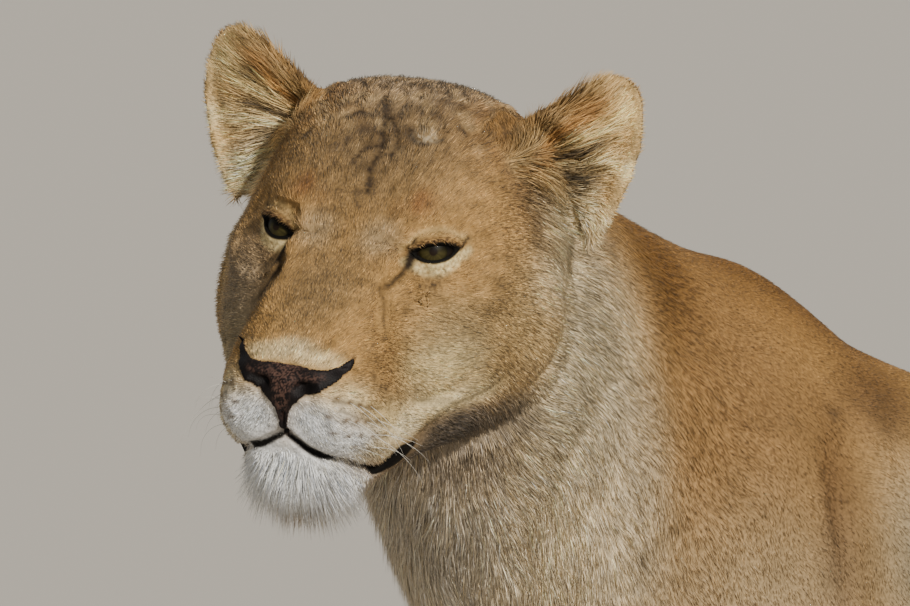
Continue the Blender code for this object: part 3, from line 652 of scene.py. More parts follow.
# Edges of the nose's pad from its middle outwards, as (across, height)
NOSE_TOP = [(0, -51), (10, -50.5), (19, -51), (27, -51.5), (32, -50), (36, -47.5), (39.5, -43)]
NOSE_UNDER = [(1.6, -99), (2.2, -93), (3, -87), (4.6, -80), (7.5, -74), (12, -69.5), (18, -66.5), (26, -63)]
NOSE_UNDER += [(33, -58), (37.5, -53), (39.5, -47.5)]


def over_skin(away, normals):
    """Steps from one place to another, with most of what leads out of the skin taken away."""
    return away - 0.85 * normals * (away * normals).sum(axis=1)[:, None]


def nearest_on(line, points, normals=None):
    """How far each point is from a line through the given places, and how far along it, 0 to 1.

    With the skin's normals it is measured over the skin.
    """
    line = curve_through(line, 5)
    best, share = np.full(len(points), 1e9), np.zeros(len(points))
    for i, (a, b) in enumerate(zip(line, line[1:])):
        step = b - a
        t = np.clip((points - a) @ step / max(step @ step, 1e-12), 0, 1)
        away = points - a - t[:, None] * step
        if normals is not None:
            away = over_skin(away, normals)
        away = np.linalg.norm(away, axis=1)
        share = np.where(away < best, (i + t) / (len(line) - 1), share)
        best = np.minimum(best, away)
    return best, share


def press_line(points, normals, line, width, depth, sides, fade=0.0):
    """Presses a soft groove into the points along a line that fades at its ends, on each side."""
    for side in sides:
        mirrored = points * (side, 1, 1)
        low, high = np.min(line, axis=0) - 3 * width, np.max(line, axis=0) + 3 * width
        near = np.all((mirrored > low) & (mirrored < high), axis=1)
        away, share = nearest_on(line, mirrored[near], normals[near] * (side, 1, 1))
        ends = np.minimum(1, 4 * np.minimum(share + fade, 1 - share)) if fade < 1 else 1.0
        points[near] -= normals[near] * (depth * ends * bell(away, width))[:, None]


def press_folds(mesh):
    """Grooves the lips, the philtrum, and the folds of the face, the forehead and the shoulders."""
    normals = normals_of(mesh)
    points = points_of(mesh)
    for line, width, depth in BODY_FOLDS:
        press_line(points, normals, line, width, depth, (1, -1))
    local = to_head(points)
    turned = normals @ HEAD_TURNED
    for line, width, left, right in FACE_FOLDS:
        press_line(local, turned, line, width, left, (1,))
        press_line(local, turned, line, width, right, (-1,))
    for line, width, depth in WRINKLES:
        press_line(local, turned, line, width, depth, (1,))
    press_line(local, turned, LIP_LINE, 3.0, 4.0, (1, -1), fade=0.3)
    press_line(local, turned, PHILTRUM, 2.0, 2.6, (1,), fade=1.0)
    set_points(mesh, from_head(local))


def refine(mesh, middle, reach):
    """Halves the cells within reach of a place in the head's frame."""
    bm = opened(mesh)
    centre = HEAD @ (Vector(middle) / 1000.0)
    inside = [f for f in bm.faces if (f.calc_center_median() - centre).length < reach / 1000.0]
    edges = list({edge for face in inside for edge in face.edges})
    bmesh.ops.subdivide_edges(bm, edges=edges, cuts=1, use_grid_fill=True)
    shut(bm, mesh)


def split_long(mesh, longest, reach):
    """Halves the long edges of the stretched skin round the eyes, three times over."""
    middles = [HEAD @ Vector((EYE_PLACE[0] * side, EYE_PLACE[1], EYE_PLACE[2])) for side in (1, -1)]
    for _ in range(3):
        bm = opened(mesh)
        long = []
        for edge in bm.edges:
            near = min((edge.verts[0].co - middle).length for middle in middles) < reach
            if near and edge.calc_length() > longest:
                long.append(edge)
        bmesh.ops.subdivide_edges(bm, edges=long, cuts=1, use_grid_fill=True)
        bmesh.ops.triangulate(bm, faces=[face for face in bm.faces if len(face.verts) > 4])
        shut(bm, mesh)


def fine_skin():
    """The whole skin with a fine head: lids, lips, nostrils and folds."""
    skin = whole_skin()
    mesh = skin.data
    refine(mesh, HEAD_MIDDLE, 235)
    relax(mesh, 4, near_head(points_of(mesh), 0.40))
    refine(mesh, (0, -105, -80), 52)  # the muzzle
    for side in (1, -1):
        refine(mesh, (side * 56, 0, -2), 25)  # the eyes
    relax(mesh, 3, near_head(points_of(mesh), 0.30))
    make_lids(mesh)
    split_long(mesh, 0.0026, 0.050)
    press_folds(mesh)
    make_strokes(mesh, NOSTRILS)
    return skin


def near_head(points, share):
    """Full share at the head, none elsewhere."""
    away = from_middle(to_head(points))
    return share * fall(away, 195, 240)


def nose_share(local):
    """1 on the nose's bare pad, 0 away from it."""
    across = np.abs(local[:, 0])
    top = np.interp(across, *zip(*NOSE_TOP))
    under = np.interp(across, *zip(*NOSE_UNDER))
    inside = np.minimum(top - local[:, 2], local[:, 2] - under)
    inside = np.where((across < 38.5) & (local[:, 1] < -84), inside, -9)
    return np.clip(inside + 0.5, 0, 1)


def ear_coordinates(local, side):
    """Places in an ear's own frame, in millimetres: along it, across it and out of its cup."""
    base, along, across, opening = ear_frame(side)
    away = local - np.array(base) * 1000.0
    return away @ np.array(along), away @ np.array(across), away @ np.array(opening)


def ear_share(local):
    """1 on the ears, 0 on the head."""
    share = np.zeros(len(local))
    for side in (1, -1):
        a, c, o = ear_coordinates(local, side)
        here = smooth_step(a, 4, 16) * fall(np.abs(c - 4), 54, 62)
        share = np.maximum(share, here * fall(np.abs(o), 34, 42))
    return share


def coat_depth(points):
    """How deep the skin lies under the coat's outline, in metres."""
    local = to_head(points)
    depth = np.interp(points[:, 2], (0.0, 0.02, 0.10, 0.45, 0.60), (0.0012, 0.002, 0.0025, 0.003, 0.005))
    away = from_middle(local)
    depth = 0.0022 + (depth - 0.0022) * smooth_step(away, 130, 230)
    depth = depth + (0.0014 - depth) * ear_share(local)
    muzzle = fall(np.linalg.norm(local - (0, -112, -80), axis=1), 30, 60)
    depth = depth + (0.0012 - depth) * muzzle
    depth *= 1 - nose_share(local)
    for side in (1, -1):
        x, y, _, ahead = eye_map(local, side)
        depth *= np.where(ahead, smooth_step(lid_distance(x, y), 3, 12), 1)
    return depth


def sink(mesh):
    """Lays the skin in by the coat's depth."""
    points, normals = points_of(mesh), normals_of(mesh)
    points -= normals * coat_depth(points)[:, None]
    set_points(mesh, points)


def flatten_soles(mesh):
    """Flattens the paws' undersides at one level."""
    points = points_of(mesh)
    points[:, 2] = np.maximum(points[:, 2], SOLE_LEVEL)
    set_points(mesh, points)


def thin(skin, chosen, wanted):
    """Brings the chosen part of the skin down to the wanted number of triangles."""
    group = skin.vertex_groups.new(name="thinned")
    group.add([int(k) for k in np.nonzero(chosen)[0]], 1.0, "REPLACE")
    first = np.array([face.vertices[0] for face in skin.data.polygons])
    kept = int((~chosen[first]).sum())
    fewer = skin.modifiers.new("fewer faces", "DECIMATE")
    fewer.vertex_group = "thinned"
    fewer.ratio = min(1.0, (kept + wanted) / len(skin.data.polygons))
    applied(skin)
    skin.vertex_groups.clear()


def thin_skin(skin):
    """Leaves fewer triangles on the body and on the head, but all round the eyes and the lips."""
    bm = opened(skin.data)
    bmesh.ops.triangulate(bm, faces=bm.faces)
    shut(bm, skin.data)
    away = from_middle(to_head(points_of(skin.data)))
    thin(skin, away > 215, BODY_TRIANGLES)
    local = to_head(points_of(skin.data))
    folded = folded_over(local)
    head = from_middle(local) < 205
    head &= np.linalg.norm(local - (0, -105, -85), axis=1) > 58
    head &= np.linalg.norm(folded - (56, 0, -2), axis=1) > 26
    thin(skin, head, HEAD_TRIANGLES)


# ---- the coat's colours, shared by the skin and the hair
TAN, PALE_TAN = (0.37, 0.215, 0.075), (0.48, 0.32, 0.15)
CREAM, WHITE, JAW_SHADE = (0.70, 0.53, 0.28), (0.98, 1.0, 1.0), (0.115, 0.09, 0.064)
RUST, BROWN = (0.42, 0.185, 0.05), (0.13, 0.075, 0.033)
DARK, BLACK = (0.055, 0.038, 0.025), (0.007, 0.006, 0.005)
# Patches of the head: (across, along, height), how far each reaches, its colour and its strength.
# All but the middle ones are on both sides.
HEAD_PATCHES = [
    ((0, 40, 60), (70, 60, 50), (0.225, 0.146, 0.068), 0.95),  # forehead
    ((0, 110, 85), (80, 50, 45), (0.31, 0.22, 0.13), 0.85),  # crown
    ((60, 95, 50), (26, 30, 26), RUST, 0.35),  # before the ear
    ((0, 48, 56), (17, 30, 24), (0.125, 0.08, 0.04), 0.35),  # dark middle of the forehead
    # darker brown before the ear: partly the coat's own brown, partly painted shade of the ear
    ((86, 80, 24), (14, 16, 20), (0.16, 0.095, 0.045), 0.6),
    ((0, -50, -18), (26, 60, 24), (0.295, 0.185, 0.078), 0.95),  # bridge of the nose
    ((22, -12, 8), (14, 20, 12), (0.40, 0.285, 0.155), 0.75),  # between the eye and the bridge
    ((75, -10, -60), (34, 40, 34), (0.39, 0.28, 0.135), 0.9),  # cheek
    ((98, 55, -60), (40, 45, 45), (0.42, 0.29, 0.13), 0.8),
    ((60, -40, -60), (18, 22, 14), (0.30, 0.185, 0.07), 0.6),
    ((74, -24, -68), (26, 36, 15), (0.62, 0.48, 0.24), 0.8),
    ((50, -74, -72), (9, 14, 12), (0.24, 0.14, 0.055), 0.7),  # between the pad and the cheek
    ((56, -66, -92), (7, 12, 12), (0.26, 0.155, 0.065), 0.55),
    ((56, -46, -92), (26, 26, 16), (0.56, 0.43, 0.235), 0.75),  # above the lip
    ((40, 12, 28), (7, 11, 11), (0.24, 0.115, 0.040), 0.95),  # smudge above the eye
    ((27, 4, 26), (7, 8, 8), (0.32, 0.17, 0.065), 0.35),
    ((48, 12, 28), (7, 10, 9), (0.33, 0.175, 0.065), 0.45),
    ((16, -102, -47), (20, 10, 5.5), CREAM, 0.95),  # above the nose
    ((0, -98, -43), (14, 12, 5.5), (0.60, 0.47, 0.27), 0.8),
    ((34, -104, -72), (22, 22, 13), (0.70, 0.55, 0.30), 0.9),  # top of the whisker pad
    ((50, -80, -94), (18, 26, 18), (0.70, 0.54, 0.27), 0.85),
    ((22, -113, -88), (23, 24, 18), WHITE, 1.0),  # upper lip
    ((38, -98, -100), (18, 22, 13), WHITE, 0.9),
    ((53, -76, -110), (16, 22, 13), (0.62, 0.50, 0.30), 0.85),
    ((0, -104, -122), (46, 34, 22), WHITE, 1.0),  # chin
    ((22, -90, -138), (30, 34, 16), WHITE, 1.0),
    ((62, -58, -98), (14, 18, 8), (0.78, 0.66, 0.42), 0.8),  # edge of the jaw
    ((76, -28, -88), (16, 22, 9), (0.60, 0.47, 0.24), 0.8),
    ((92, 0, -88), (16, 26, 10), (0.56, 0.43, 0.22), 0.7),
    ((78, -10, -116), (26, 46, 15), JAW_SHADE, 0.95),  # under the jaw
    ((60, -14, -132), (36, 50, 16), JAW_SHADE, 0.9),
    ((96, 44, -122), (20, 34, 16), JAW_SHADE, 0.8),
    ((0, -30, -158), (50, 60, 16), JAW_SHADE, 0.9),
    ((112, 104, -46), (16, 26, 28), (0.62, 0.49, 0.29), 0.75),  # below the ear
    ((100, 92, 4), (14, 16, 12), RUST, 0.4),
    ((108, 96, -36), (15, 34, 24), (0.78, 0.62, 0.38), 0.85),  # pale edge of the ruff
    ((78, -22, -93), (24, 42, 8), (0.80, 0.64, 0.36), 0.75),  # pale edge of the cheek
    # paler tan before the ear's base: painted light against the ear's shadow
    ((92, 92, 6), (16, 16, 14), (0.40, 0.27, 0.125), 0.7),
]
# Dark lines from the corners of the eye: (towards the outer corner, up) from its middle, half width
EYE_LINES = [([(-12.5, 3), (-16, 0), (-18, -4)], 2.4), ([(14, 3.0), (18.5, 2.8), (24, 7)], 1.4)]
# Dark lines of the face: their places, half width, strength and the sides they are on
DARK_LINES = [
    ([(41, 0, 0), (41, -3, -3), (42, -9, -6), (41, -15, -9), (41, -20, -11), (39, -27, -13),
      (38, -31, -15), (35, -36, -16), (33, -39, -14)], 2.4, 0.85, (1,)),  # tear line
    ([(42, 2, 2), (41, -3, -3), (42, -9, -6), (41, -15, -9)], 3.6, 1.0, (1,)),  # its upper end
    ([(46, -1, 2), (44, -8, -6), (43, -22, -14), (40, -29, -17), (43, -35, -25), (53, -28, -37),
      (63, -23, -52)], 3.2, 0.95, (-1,)),  # the right eye's tear line, running on down the far edge of the bridge and the muzzle as painted shade
    # painted shade in the crease beside the bridge, below the tear line
    ([(33, -39, -15), (38, -42, -22), (40, -47, -27), (43, -54, -32), (46, -57, -40)], 1.8, 0.6, (1,)),
    # rows of the whiskers' roots
    ([(34, -117, -68), (46, -102, -73), (51, -92, -78), (56, -80, -81), (60, -68, -88)], 1.3, 0.55, (1, -1)),
    ([(39, -115, -74), (45, -106, -80), (51, -93, -86), (57, -81, -92), (61, -69, -99)], 1.3, 0.5, (1, -1)),
    ([(42, -112, -81), (47, -101, -88), (53, -89, -95), (59, -75, -103)], 1.3, 0.4, (1, -1)),
    ([(97, 20, -86), (88, 7, -92), (80, -4, -95), (73, -26, -90), (64, -41, -86), (61, -52, -83)],
     1.7, 0.55, (1, -1)),  # edge of the cheek
]
# Small dark marks of the head: streaks of the forehead, ticks, scars and the whiskers' roots.
HEAD_SPOTS = [
    (-27, 37, 49, 5), (-24, 43, 52, 3.5), (3, 19, 32, 4), (-3, 12, 28, 3.5), (1, 6, 24, 3.5),
    (-16, 12, 27, 3), (18, 51, 57, 2.5), (-56, 51, 48, 3.5), (-15, 51, 58, 5), (10, 85, 73, 2.5),
    (68, 90, 57, 5), (76, 75, 38, 4), (95, 82, 5, 4), (-7, 69, 66, 5), (-10, 74, 69, 4),
    (52, -6, -18, 1.8), (59, -3, -20, 1.8), (48, -8, -14, 1.8), (60, 0, -16, 1.8), (56, -6, -22, 1.7),
    (51, -12, -20, 1.7), (45, -11, -11, 1.6), (49, -83, -60, 2.4), (54, -75, -70, 2.6),
    (57, -73, -77, 2.2), (60, -61, -83, 2.2), (62, 3, -12, 1.6),
]
# Wrinkles of the forehead: their places, half width and depth
WRINKLES = [
    ([(-12, 77, 70), (-7, 71, 68), (-6, 65, 64), (-4, 58, 61), (-3, 52, 57), (0, 47, 54), (1, 40, 49),
      (-1, 28, 40)], 2.7, 1.7),
    ([(0, 44, 52), (-7, 40, 50), (-12, 36, 47), (-13, 29, 42)], 2.2, 1.2),
    ([(-2, 64, 63), (6, 55, 59), (10, 45, 53), (10, 36, 48)], 2.4, 1.2),
    ([(-1, 28, 40), (1, 21, 34), (3, 13, 29)], 2.2, 0.6),
    ([(15, 57, 60), (21, 49, 57), (29, 49, 56), (38, 55, 57)], 2.4, 1.4),
    ([(44, 69, 64), (50, 66, 59)], 1.7, 0.6),
    ([(-30, 60, 60), (-24, 66, 64), (-18, 62, 63)], 2.4, 1.0),
]
WHISKER_ROOTS = [
    (34, -112, -68), (41, -107, -71), (47, -101, -74), (53, -93, -76), (32, -114, -78), (39, -110, -81),
    (46, -104, -84), (52, -97, -86), (57, -88, -87), (34, -112, -89), (41, -106, -93), (48, -99, -95),
    (53, -90, -97), (57, -81, -98), (43, -98, -104), (50, -88, -106),
]
# Patches of the body, in metres: place, reach, colour and strength, on both sides.
BODY_PATCHES = [
    ((0.00, -0.34, 0.78), (0.10, 0.10, 0.20), (0.66, 0.53, 0.34), 0.95),  # throat
    ((0.04, -0.41, 0.87), (0.10, 0.09, 0.10), (0.56, 0.49, 0.38), 0.95),
    ((0.11, -0.44, 0.95), (0.05, 0.06, 0.04), (0.22, 0.18, 0.135), 0.9),  # under the jaw: painted shade of the jaw on the neck
    ((0.13, -0.33, 0.98), (0.07, 0.062, 0.14), (0.60, 0.50, 0.325), 1.0),  # side of the neck
    ((0.12, -0.30, 0.84), (0.08, 0.065, 0.12), (0.80, 0.66, 0.44), 0.95),
    ((0.08, -0.225, 1.04), (0.06, 0.035, 0.075), (0.135, 0.066, 0.017), 0.9),  # behind the ear
    ((0.12, -0.215, 0.93), (0.06, 0.028, 0.08), (0.30, 0.165, 0.06), 0.6),
    ((0.12, -0.16, 0.97), (0.06, 0.06, 0.12), (0.28, 0.158, 0.062), 0.85),
    ((0.11, -0.098, 0.85), (0.04, 0.020, 0.10), (0.17, 0.09, 0.035), 0.9),  # fold before the shoulder: painted shade in the fold
    ((0.09, -0.055, 0.94), (0.04, 0.05, 0.03), (0.17, 0.095, 0.038), 0.75),
    ((0.15, -0.02, 0.84), (0.05, 0.06, 0.10), (0.41, 0.35, 0.235), 0.85),  # shoulder: paler, partly the coat's own pale tan, partly painted light where the sun falls
    ((0.09, -0.035, 0.945), (0.04, 0.035, 0.028), (0.15, 0.085, 0.035), 0.8),
    ((0.00, 0.06, 1.02), (0.09, 0.40, 0.10), (0.20, 0.088, 0.019), 0.9),  # along the back
    ((0.12, -0.17, 0.78), (0.07, 0.09, 0.10), (0.42, 0.315, 0.185), 0.85),  # before the shoulder
    ((0.00, 0.40, 0.50), (0.16, 0.34, 0.10), CREAM, 0.85),  # belly
    ((0.03, 0.70, 0.52), (0.08, 0.12, 0.14), CREAM, 0.6),  # groin
    ((0.00, -0.17, 0.62), (0.10, 0.12, 0.12), PALE_TAN, 0.7),  # breast
]
# Small dark scabs of the neck and the shoulder, in metres
BODY_SPOTS = [(0.113, -0.312, 1.032), (0.101, -0.275, 1.038), (0.100, -0.220, 0.990), (0.106, -0.203, 0.956),
              (0.104, -0.135, 0.937), (0.096, -0.109, 0.949), (0.099, -0.090, 0.935), (0.085, -0.037, 0.943),
              (0.116, -0.350, 0.931), (0.097, -0.261, 0.853), (0.050, -0.114, 1.019), (0.056, -0.105, 1.010)]


def noise(points, size, seed):
    """Smooth random values from about -1 to 1, in lumps of the given size."""
    rng = np.random.default_rng(seed)
    ways = rng.normal(size=(14, 3))
    ways /= np.linalg.norm(ways, axis=1)[:, None]
    ways *= (2 * math.pi / size) * rng.uniform(0.6, 1.5, 14)[:, None]
    return np.sin(points @ ways.T + rng.uniform(0, 2 * math.pi, 14)).sum(axis=1) / 3.2


def patch_share(points, place, reach):
    """1 in the middle of a patch of the given reach, fading at its edge."""
    return np.exp(-((((points - place) / reach) ** 2).sum(axis=1) ** 1.5))


def spot_share(points, normals, place, reach):
    """1 in the middle of a small spot, measured over the skin."""
    away = over_skin(points - place, normals)
    return np.exp(-((away / reach) ** 2).sum(axis=1))


def mixed(tone, colour, share):
    return tone + (np.array(colour) - tone) * np.clip(share, 0, 1)[:, None]


EAR_FAN = (7.0, -15.0)  # along and across the ear, in millimetres


def ear_fan(a, c):
    """The angle in degrees and the distance of places on an ear from where its hair fans out."""
    along, across = a - EAR_FAN[0], c - EAR_FAN[1]
    return np.degrees(np.arctan2(across, along)), np.hypot(along, across)


# Bands of the ear's hair: angle in the fan, width, where they begin and end, colour and strength
EAR_BANDS = [
    (0, 10, 0, 62, (0.42, 0.20, 0.055), 0.8),
    (17, 9, 20, 90, (0.74, 0.55, 0.26), 0.95),
    (31, 5.5, 8, 52, (0.085, 0.06, 0.038), 0.9),
    (43, 6.5, 12, 80, (0.80, 0.62, 0.33), 0.95),
    (58, 8, 16, 50, (0.075, 0.055, 0.037), 0.95),
    (80, 12, 10, 80, (0.64, 0.50, 0.28), 0.8),
]


EAR_PAINTED_LIGHT = ((1, 1.0), (-1, 1.3))  # how much each ear's hair is brightened: painted light, the right ear's made brighter against the shade it stands in


def ear_tones(tone, local, normals):
    """Colours an ear: dark behind, rusty along its inner edge, cream hair over a dark hollow, the right
    ear's hair made brighter as painted light.
    """
    turned = normals @ HEAD_TURNED
    for side, depth in EAR_PAINTED_LIGHT:
        # depth is painted light: it brightens the right ear's hair
        a, c, _ = ear_coordinates(local, side)
        here = (np.sign(local[:, 0]) == side) * smooth_step(a, 2, 14) * ear_share(local)
        facing = turned @ np.array(ear_frame(side)[3])
        inside, behind = here * smooth_step(facing, -0.15, 0.2), here * smooth_step(-facing, -0.1, 0.3)
        tone = mixed(tone, np.array((0.50, 0.34, 0.15)) * depth, inside * 0.95)
        headward = inside * fall(c, -40, -16)
        tone = mixed(tone, np.array((0.27, 0.14, 0.042)) * (0.4 + 0.6 * depth), headward * 0.9)
        angle, reach = ear_fan(a, c)
        for middle, wide, start, end, colour, strength in EAR_BANDS:
            band = bell(angle - middle, wide) * smooth_step(reach, start, start + 8)
            band = band * fall(reach, end - 10, end + 6)
            shown = np.array(colour) * (depth if max(colour) > 0.2 else 1.0)
            tone = mixed(tone, shown / max(1.0, shown.max() / 0.85), inside * band * strength)
        tone = mixed(tone, (0.30, 0.175, 0.07), behind * 0.9)
        patch = np.exp(-(((a - 42) / 34) ** 2) - ((c - 2) / 34) ** 2)
        tone = mixed(tone, DARK, behind * patch)
    return tone


def eye_tones(tone, local):
    """Colours the lids: pale below, lashes with painted shade of the brow and a tan fold above, dark lines
    at the corners.
    """
    broken = 0.75 + 0.25 * noise(local, 3.0, 8)
    lashes_and_brow_shade = smooth_step(noise(local, 2.2, 9), -0.7, 0.5)
    flecked = smooth_step(noise(local, 4.0, 5), -0.1, 0.4)
    for side in (1, -1):
        x, y, out, near = before_eye(local, side)
        fade = near * fall(out, 30, 44)
        rim = lid_distance(x, y, DARK_RIM)
        below = fall(rim, 5.0, 11.0) * smooth_step(LID_MIDDLE[1] - y, -1, 4)
        tone = mixed(tone, (0.76, 0.60, 0.30), fade * below * broken)
        over = fade * smooth_step(y - LID_MIDDLE[1], 0, 4)
        tone = mixed(tone, (0.46, 0.31, 0.13), over * bell(rim - 6.5, 2.6) * 0.8)
        # dark lashes over the upper rim, with painted shade under the brow
        tone = mixed(tone, (0.10, 0.055, 0.028), over * bell(rim - 1.2, 2.2) * lashes_and_brow_shade)
        flecks = np.exp(-(((y + 18) / 4.0) ** 2) - ((x + 2) / 8) ** 2) * flecked
        tone = mixed(tone, DARK, fade * flecks * 0.8)
        for line, width in EYE_LINES:
            dark = bell(nearest_on(line, np.column_stack((x, y)))[0], width)
            tone = mixed(tone, (0.03, 0.02, 0.014), near * dark * 0.95)
    return tone


def tail_tuft_share(points):
    """1 on the tuft of the tail, 0 elsewhere."""
    return smooth_step(points[:, 1], 0.90, 0.93) * fall(points[:, 2], 0.16, 0.24)


def body_tones(points, normals):
    """The coat's colours of the body, pale inside the legs and below."""
    tone = np.tile(np.array(TAN), (len(points), 1))
    z = points[:, 2]
    inner = smooth_step(-normals[:, 0] * np.sign(points[:, 0]), 0.2, 0.9) * fall(z, 0.45, 0.6)
    tone = mixed(tone, CREAM, inner * 0.7)
    tone = mixed(tone, PALE_TAN, 0.7 * smooth_step(-normals[:, 2], 0.1, 0.8) * smooth_step(z, 0.3, 0.5))
    tone = mixed(tone, PALE_TAN, fall(z, 0.02, 0.09))
    mirrored = folded_over(points)
    for place, reach, colour, strength in BODY_PATCHES:
        tone = mixed(tone, colour, strength * patch_share(mirrored, place, reach))
    return mixed(tone, DARK, tail_tuft_share(points))


def head_tones(tone, local, normals):
    """The coat's colours of the head, the lids and the ears, with painted shade on the far cheek."""
    folded = folded_over(local)
    for place, reach, colour, strength in HEAD_PATCHES:
        tone = mixed(tone, colour, strength * patch_share(folded, place, reach))
    # painted shade: the right cheek, turned away from the sun, is made darker and greyer
    far_cheek_shade = patch_share(local, (-78, -20, -40), (32, 55, 55))
    tone = mixed(tone, (0.26, 0.20, 0.135), 0.75 * far_cheek_shade)
    tone = ear_tones(eye_tones(tone, local), local, normals)
    ear_tuft = patch_share(folded, (106, 108, 0), (26, 24, 20))
    return mixed(tone, (0.88, 0.71, 0.43), ear_tuft)


def patchy(tone, points, local):
    """The coat's uneven depth of colour, ruffled on the crown."""
    near = from_middle(local) < 200
    depth = 1 + 0.08 * noise(points, 0.11, 1) + 0.06 * noise(points, 0.035, 2)
    depth[near] += 0.12 * noise(points[near], 0.012, 3) + 0.07 * noise(points[near], 0.005, 4)
    depth[~near] += 0.04 * noise(points[~near], 0.010, 3)
    crown = smooth_step(local[:, 2], 40, 66) * near
    ruffled = smooth_step(noise(points, 0.016, 6), 0.1, 0.9) * crown
    tone = mixed(tone, (0.10, 0.06, 0.028), 0.55 * ruffled)
    pale = smooth_step(noise(points, 0.02, 7), 0.3, 1.0)
    return mixed(tone, (0.46, 0.32, 0.16), 0.5 * pale * crown) * depth[:, None]


def marked(tone, points, normals, local):
    """Adds the dark lines, the wrinkles' shade, the spots and the whiskers' roots."""
    folded = folded_over(local)
    ways = normals @ HEAD_TURNED
    folded_ways = folded_with(local, ways)
    for line, width, strength, sides in DARK_LINES:
        away, share = nearest_on(line, folded, folded_ways)
        dark = np.minimum(1, 5 * (1 - share)) * bell(away, width)
        dark = dark * np.isin(np.sign(local[:, 0]), sides)
        tone = mixed(tone, (0.025, 0.017, 0.011), strength * dark)
    broken = 0.55 + 0.45 * smooth_step(noise(local, 5.0, 10), -0.6, 0.2)
    for line, width, _ in WRINKLES:
        dark = bell(nearest_on(line, local, ways)[0], width) * broken
        tone = mixed(tone, (0.035, 0.023, 0.014), 0.95 * dark)
    scab = patch_share(local, (27, 54, 59), (8, 6, 6))
    tone = mixed(tone, (0.50, 0.40, 0.26), 0.75 * scab * smooth_step(noise(local, 4.0, 12), -0.6, 0.2))
    flecked = smooth_step(noise(local, 3.0, 14), -1.0, 0.1)
    for x, y, z, reach in HEAD_SPOTS:
        tone = mixed(tone, DARK, 0.85 * spot_share(local, ways, (x, y, z), reach) * flecked)
    for place in WHISKER_ROOTS:
        tone = mixed(tone, BROWN, 0.9 * spot_share(folded, folded_ways, place, (2.4, 2.4, 1.5)))
    for place in BODY_SPOTS:
        tone = mixed(tone, DARK, 0.9 * spot_share(points, normals, place, 0.0036) * flecked)
    return tone


def tones(points, normals):
    """The coat's colour at each place of the skin."""
    local = to_head(points)
    tone = head_tones(body_tones(points, normals), local, normals)
    return np.clip(marked(patchy(tone, points, local), points, normals, local), 0.0, 1.0)


def lip_distance(folded):
    """How far places are from the line of the lips, whatever the depth of its groove."""
    flat = np.array((1.0, 0.35, 1.0))
    return nearest_on([tuple(np.array(place) * flat) for place in LIP_LINE], folded * flat)[0]


def lip_width(folded):
    """Half the width of the dark bare lip: widest before the corner of the mouth."""
    return np.interp(folded[:, 0], (0, 24, 40, 54, 64), (1.9, 2.5, 3.6, 5.4, 3.8))


def bare_tones(tone, points):
    """Adds the dark bare skin round the eyes, along the lips and under the nose."""
    local = to_head(points)
    folded = folded_over(local)
    for side in (1, -1):
        x, y, _, near = before_eye(local, side)
        tone = mixed(tone, BLACK, near * fall(lid_distance(x, y, DARK_RIM), -0.6, 0.8))
    wide = lip_width(folded)
    tone = mixed(tone, BLACK, fall(lip_distance(folded), wide, wide + 1.4))
    return mixed(tone, (0.05, 0.03, 0.02), nose_share(local))


SKIN_SHADE = 0.72  # the skin's colour under the hair, as a share of the hair's: darker, painted shade in the gaps between the tufts


def give_tones(mesh, tone):
    attribute = mesh.color_attributes.new("tone", "FLOAT_COLOR", "POINT")
    attribute.data.foreach_set("color", np.column_stack((tone, np.ones(len(tone)))).ravel())


# ---- the lie of the coat: places and the way the hair points there
# Those of the head are in millimetres in its own frame, those of the body in metres.
HEAD_LIE = [
    ((0, -96, -44), (0, 0.9, 0.45)), ((0, -60, -19), (0, 0.9, 0.4)), ((0, -10, 12), (0, 0.7, 0.7)),
    ((0, 30, 48), (0, 0.8, 0.6)), ((0, 90, 76), (0, 1, 0)), ((0, 170, 50), (0, 0.9, -0.4)),
    ((40, -72, -40), (0.5, 0.8, -0.1)), ((60, -20, -30), (0.6, 0.6, -0.5)),
    ((34, -25, -5), (0.1, 0.6, 0.8)), ((55, 5, 30), (0.35, 0.6, 0.7)), ((85, 20, 0), (0.4, 0.9, 0.1)),
    ((90, 20, -50), (0.45, 0.8, -0.45)), ((110, 75, -60), (0.2, 0.75, -0.65)),
    ((85, 60, -125), (0, 0.75, -0.65)), ((40, -100, -80), (0.75, 0.35, -0.55)),
    ((60, -60, -90), (0.6, 0.7, -0.4)), ((12, -112, -98), (0.5, 0.1, -0.85)),
    ((0, -112, -122), (0, -0.25, -1)), ((28, -95, -130), (0.3, 0.0, -1)),
    ((40, -60, -145), (0.2, 0.5, -0.8)), ((0, -50, -155), (0, 0.8, -0.6)),
    ((80, 60, 35), (0.5, 0.7, 0.4)), ((74, 92, 36), (0.75, 0.6, 0.25)),
    ((92, 88, 12), (0.85, 0.35, -0.4)), ((100, 100, -4), (0.85, 0.3, -0.5)),
    ((112, 100, -30), (0.5, 0.6, -0.6)), ((0, 60, -150), (0, 0.7, -0.7)),
    ((60, -40, -115), (0.4, 0.8, -0.4)), ((20, -106, -60), (0.6, 0.5, 0.3)),
]
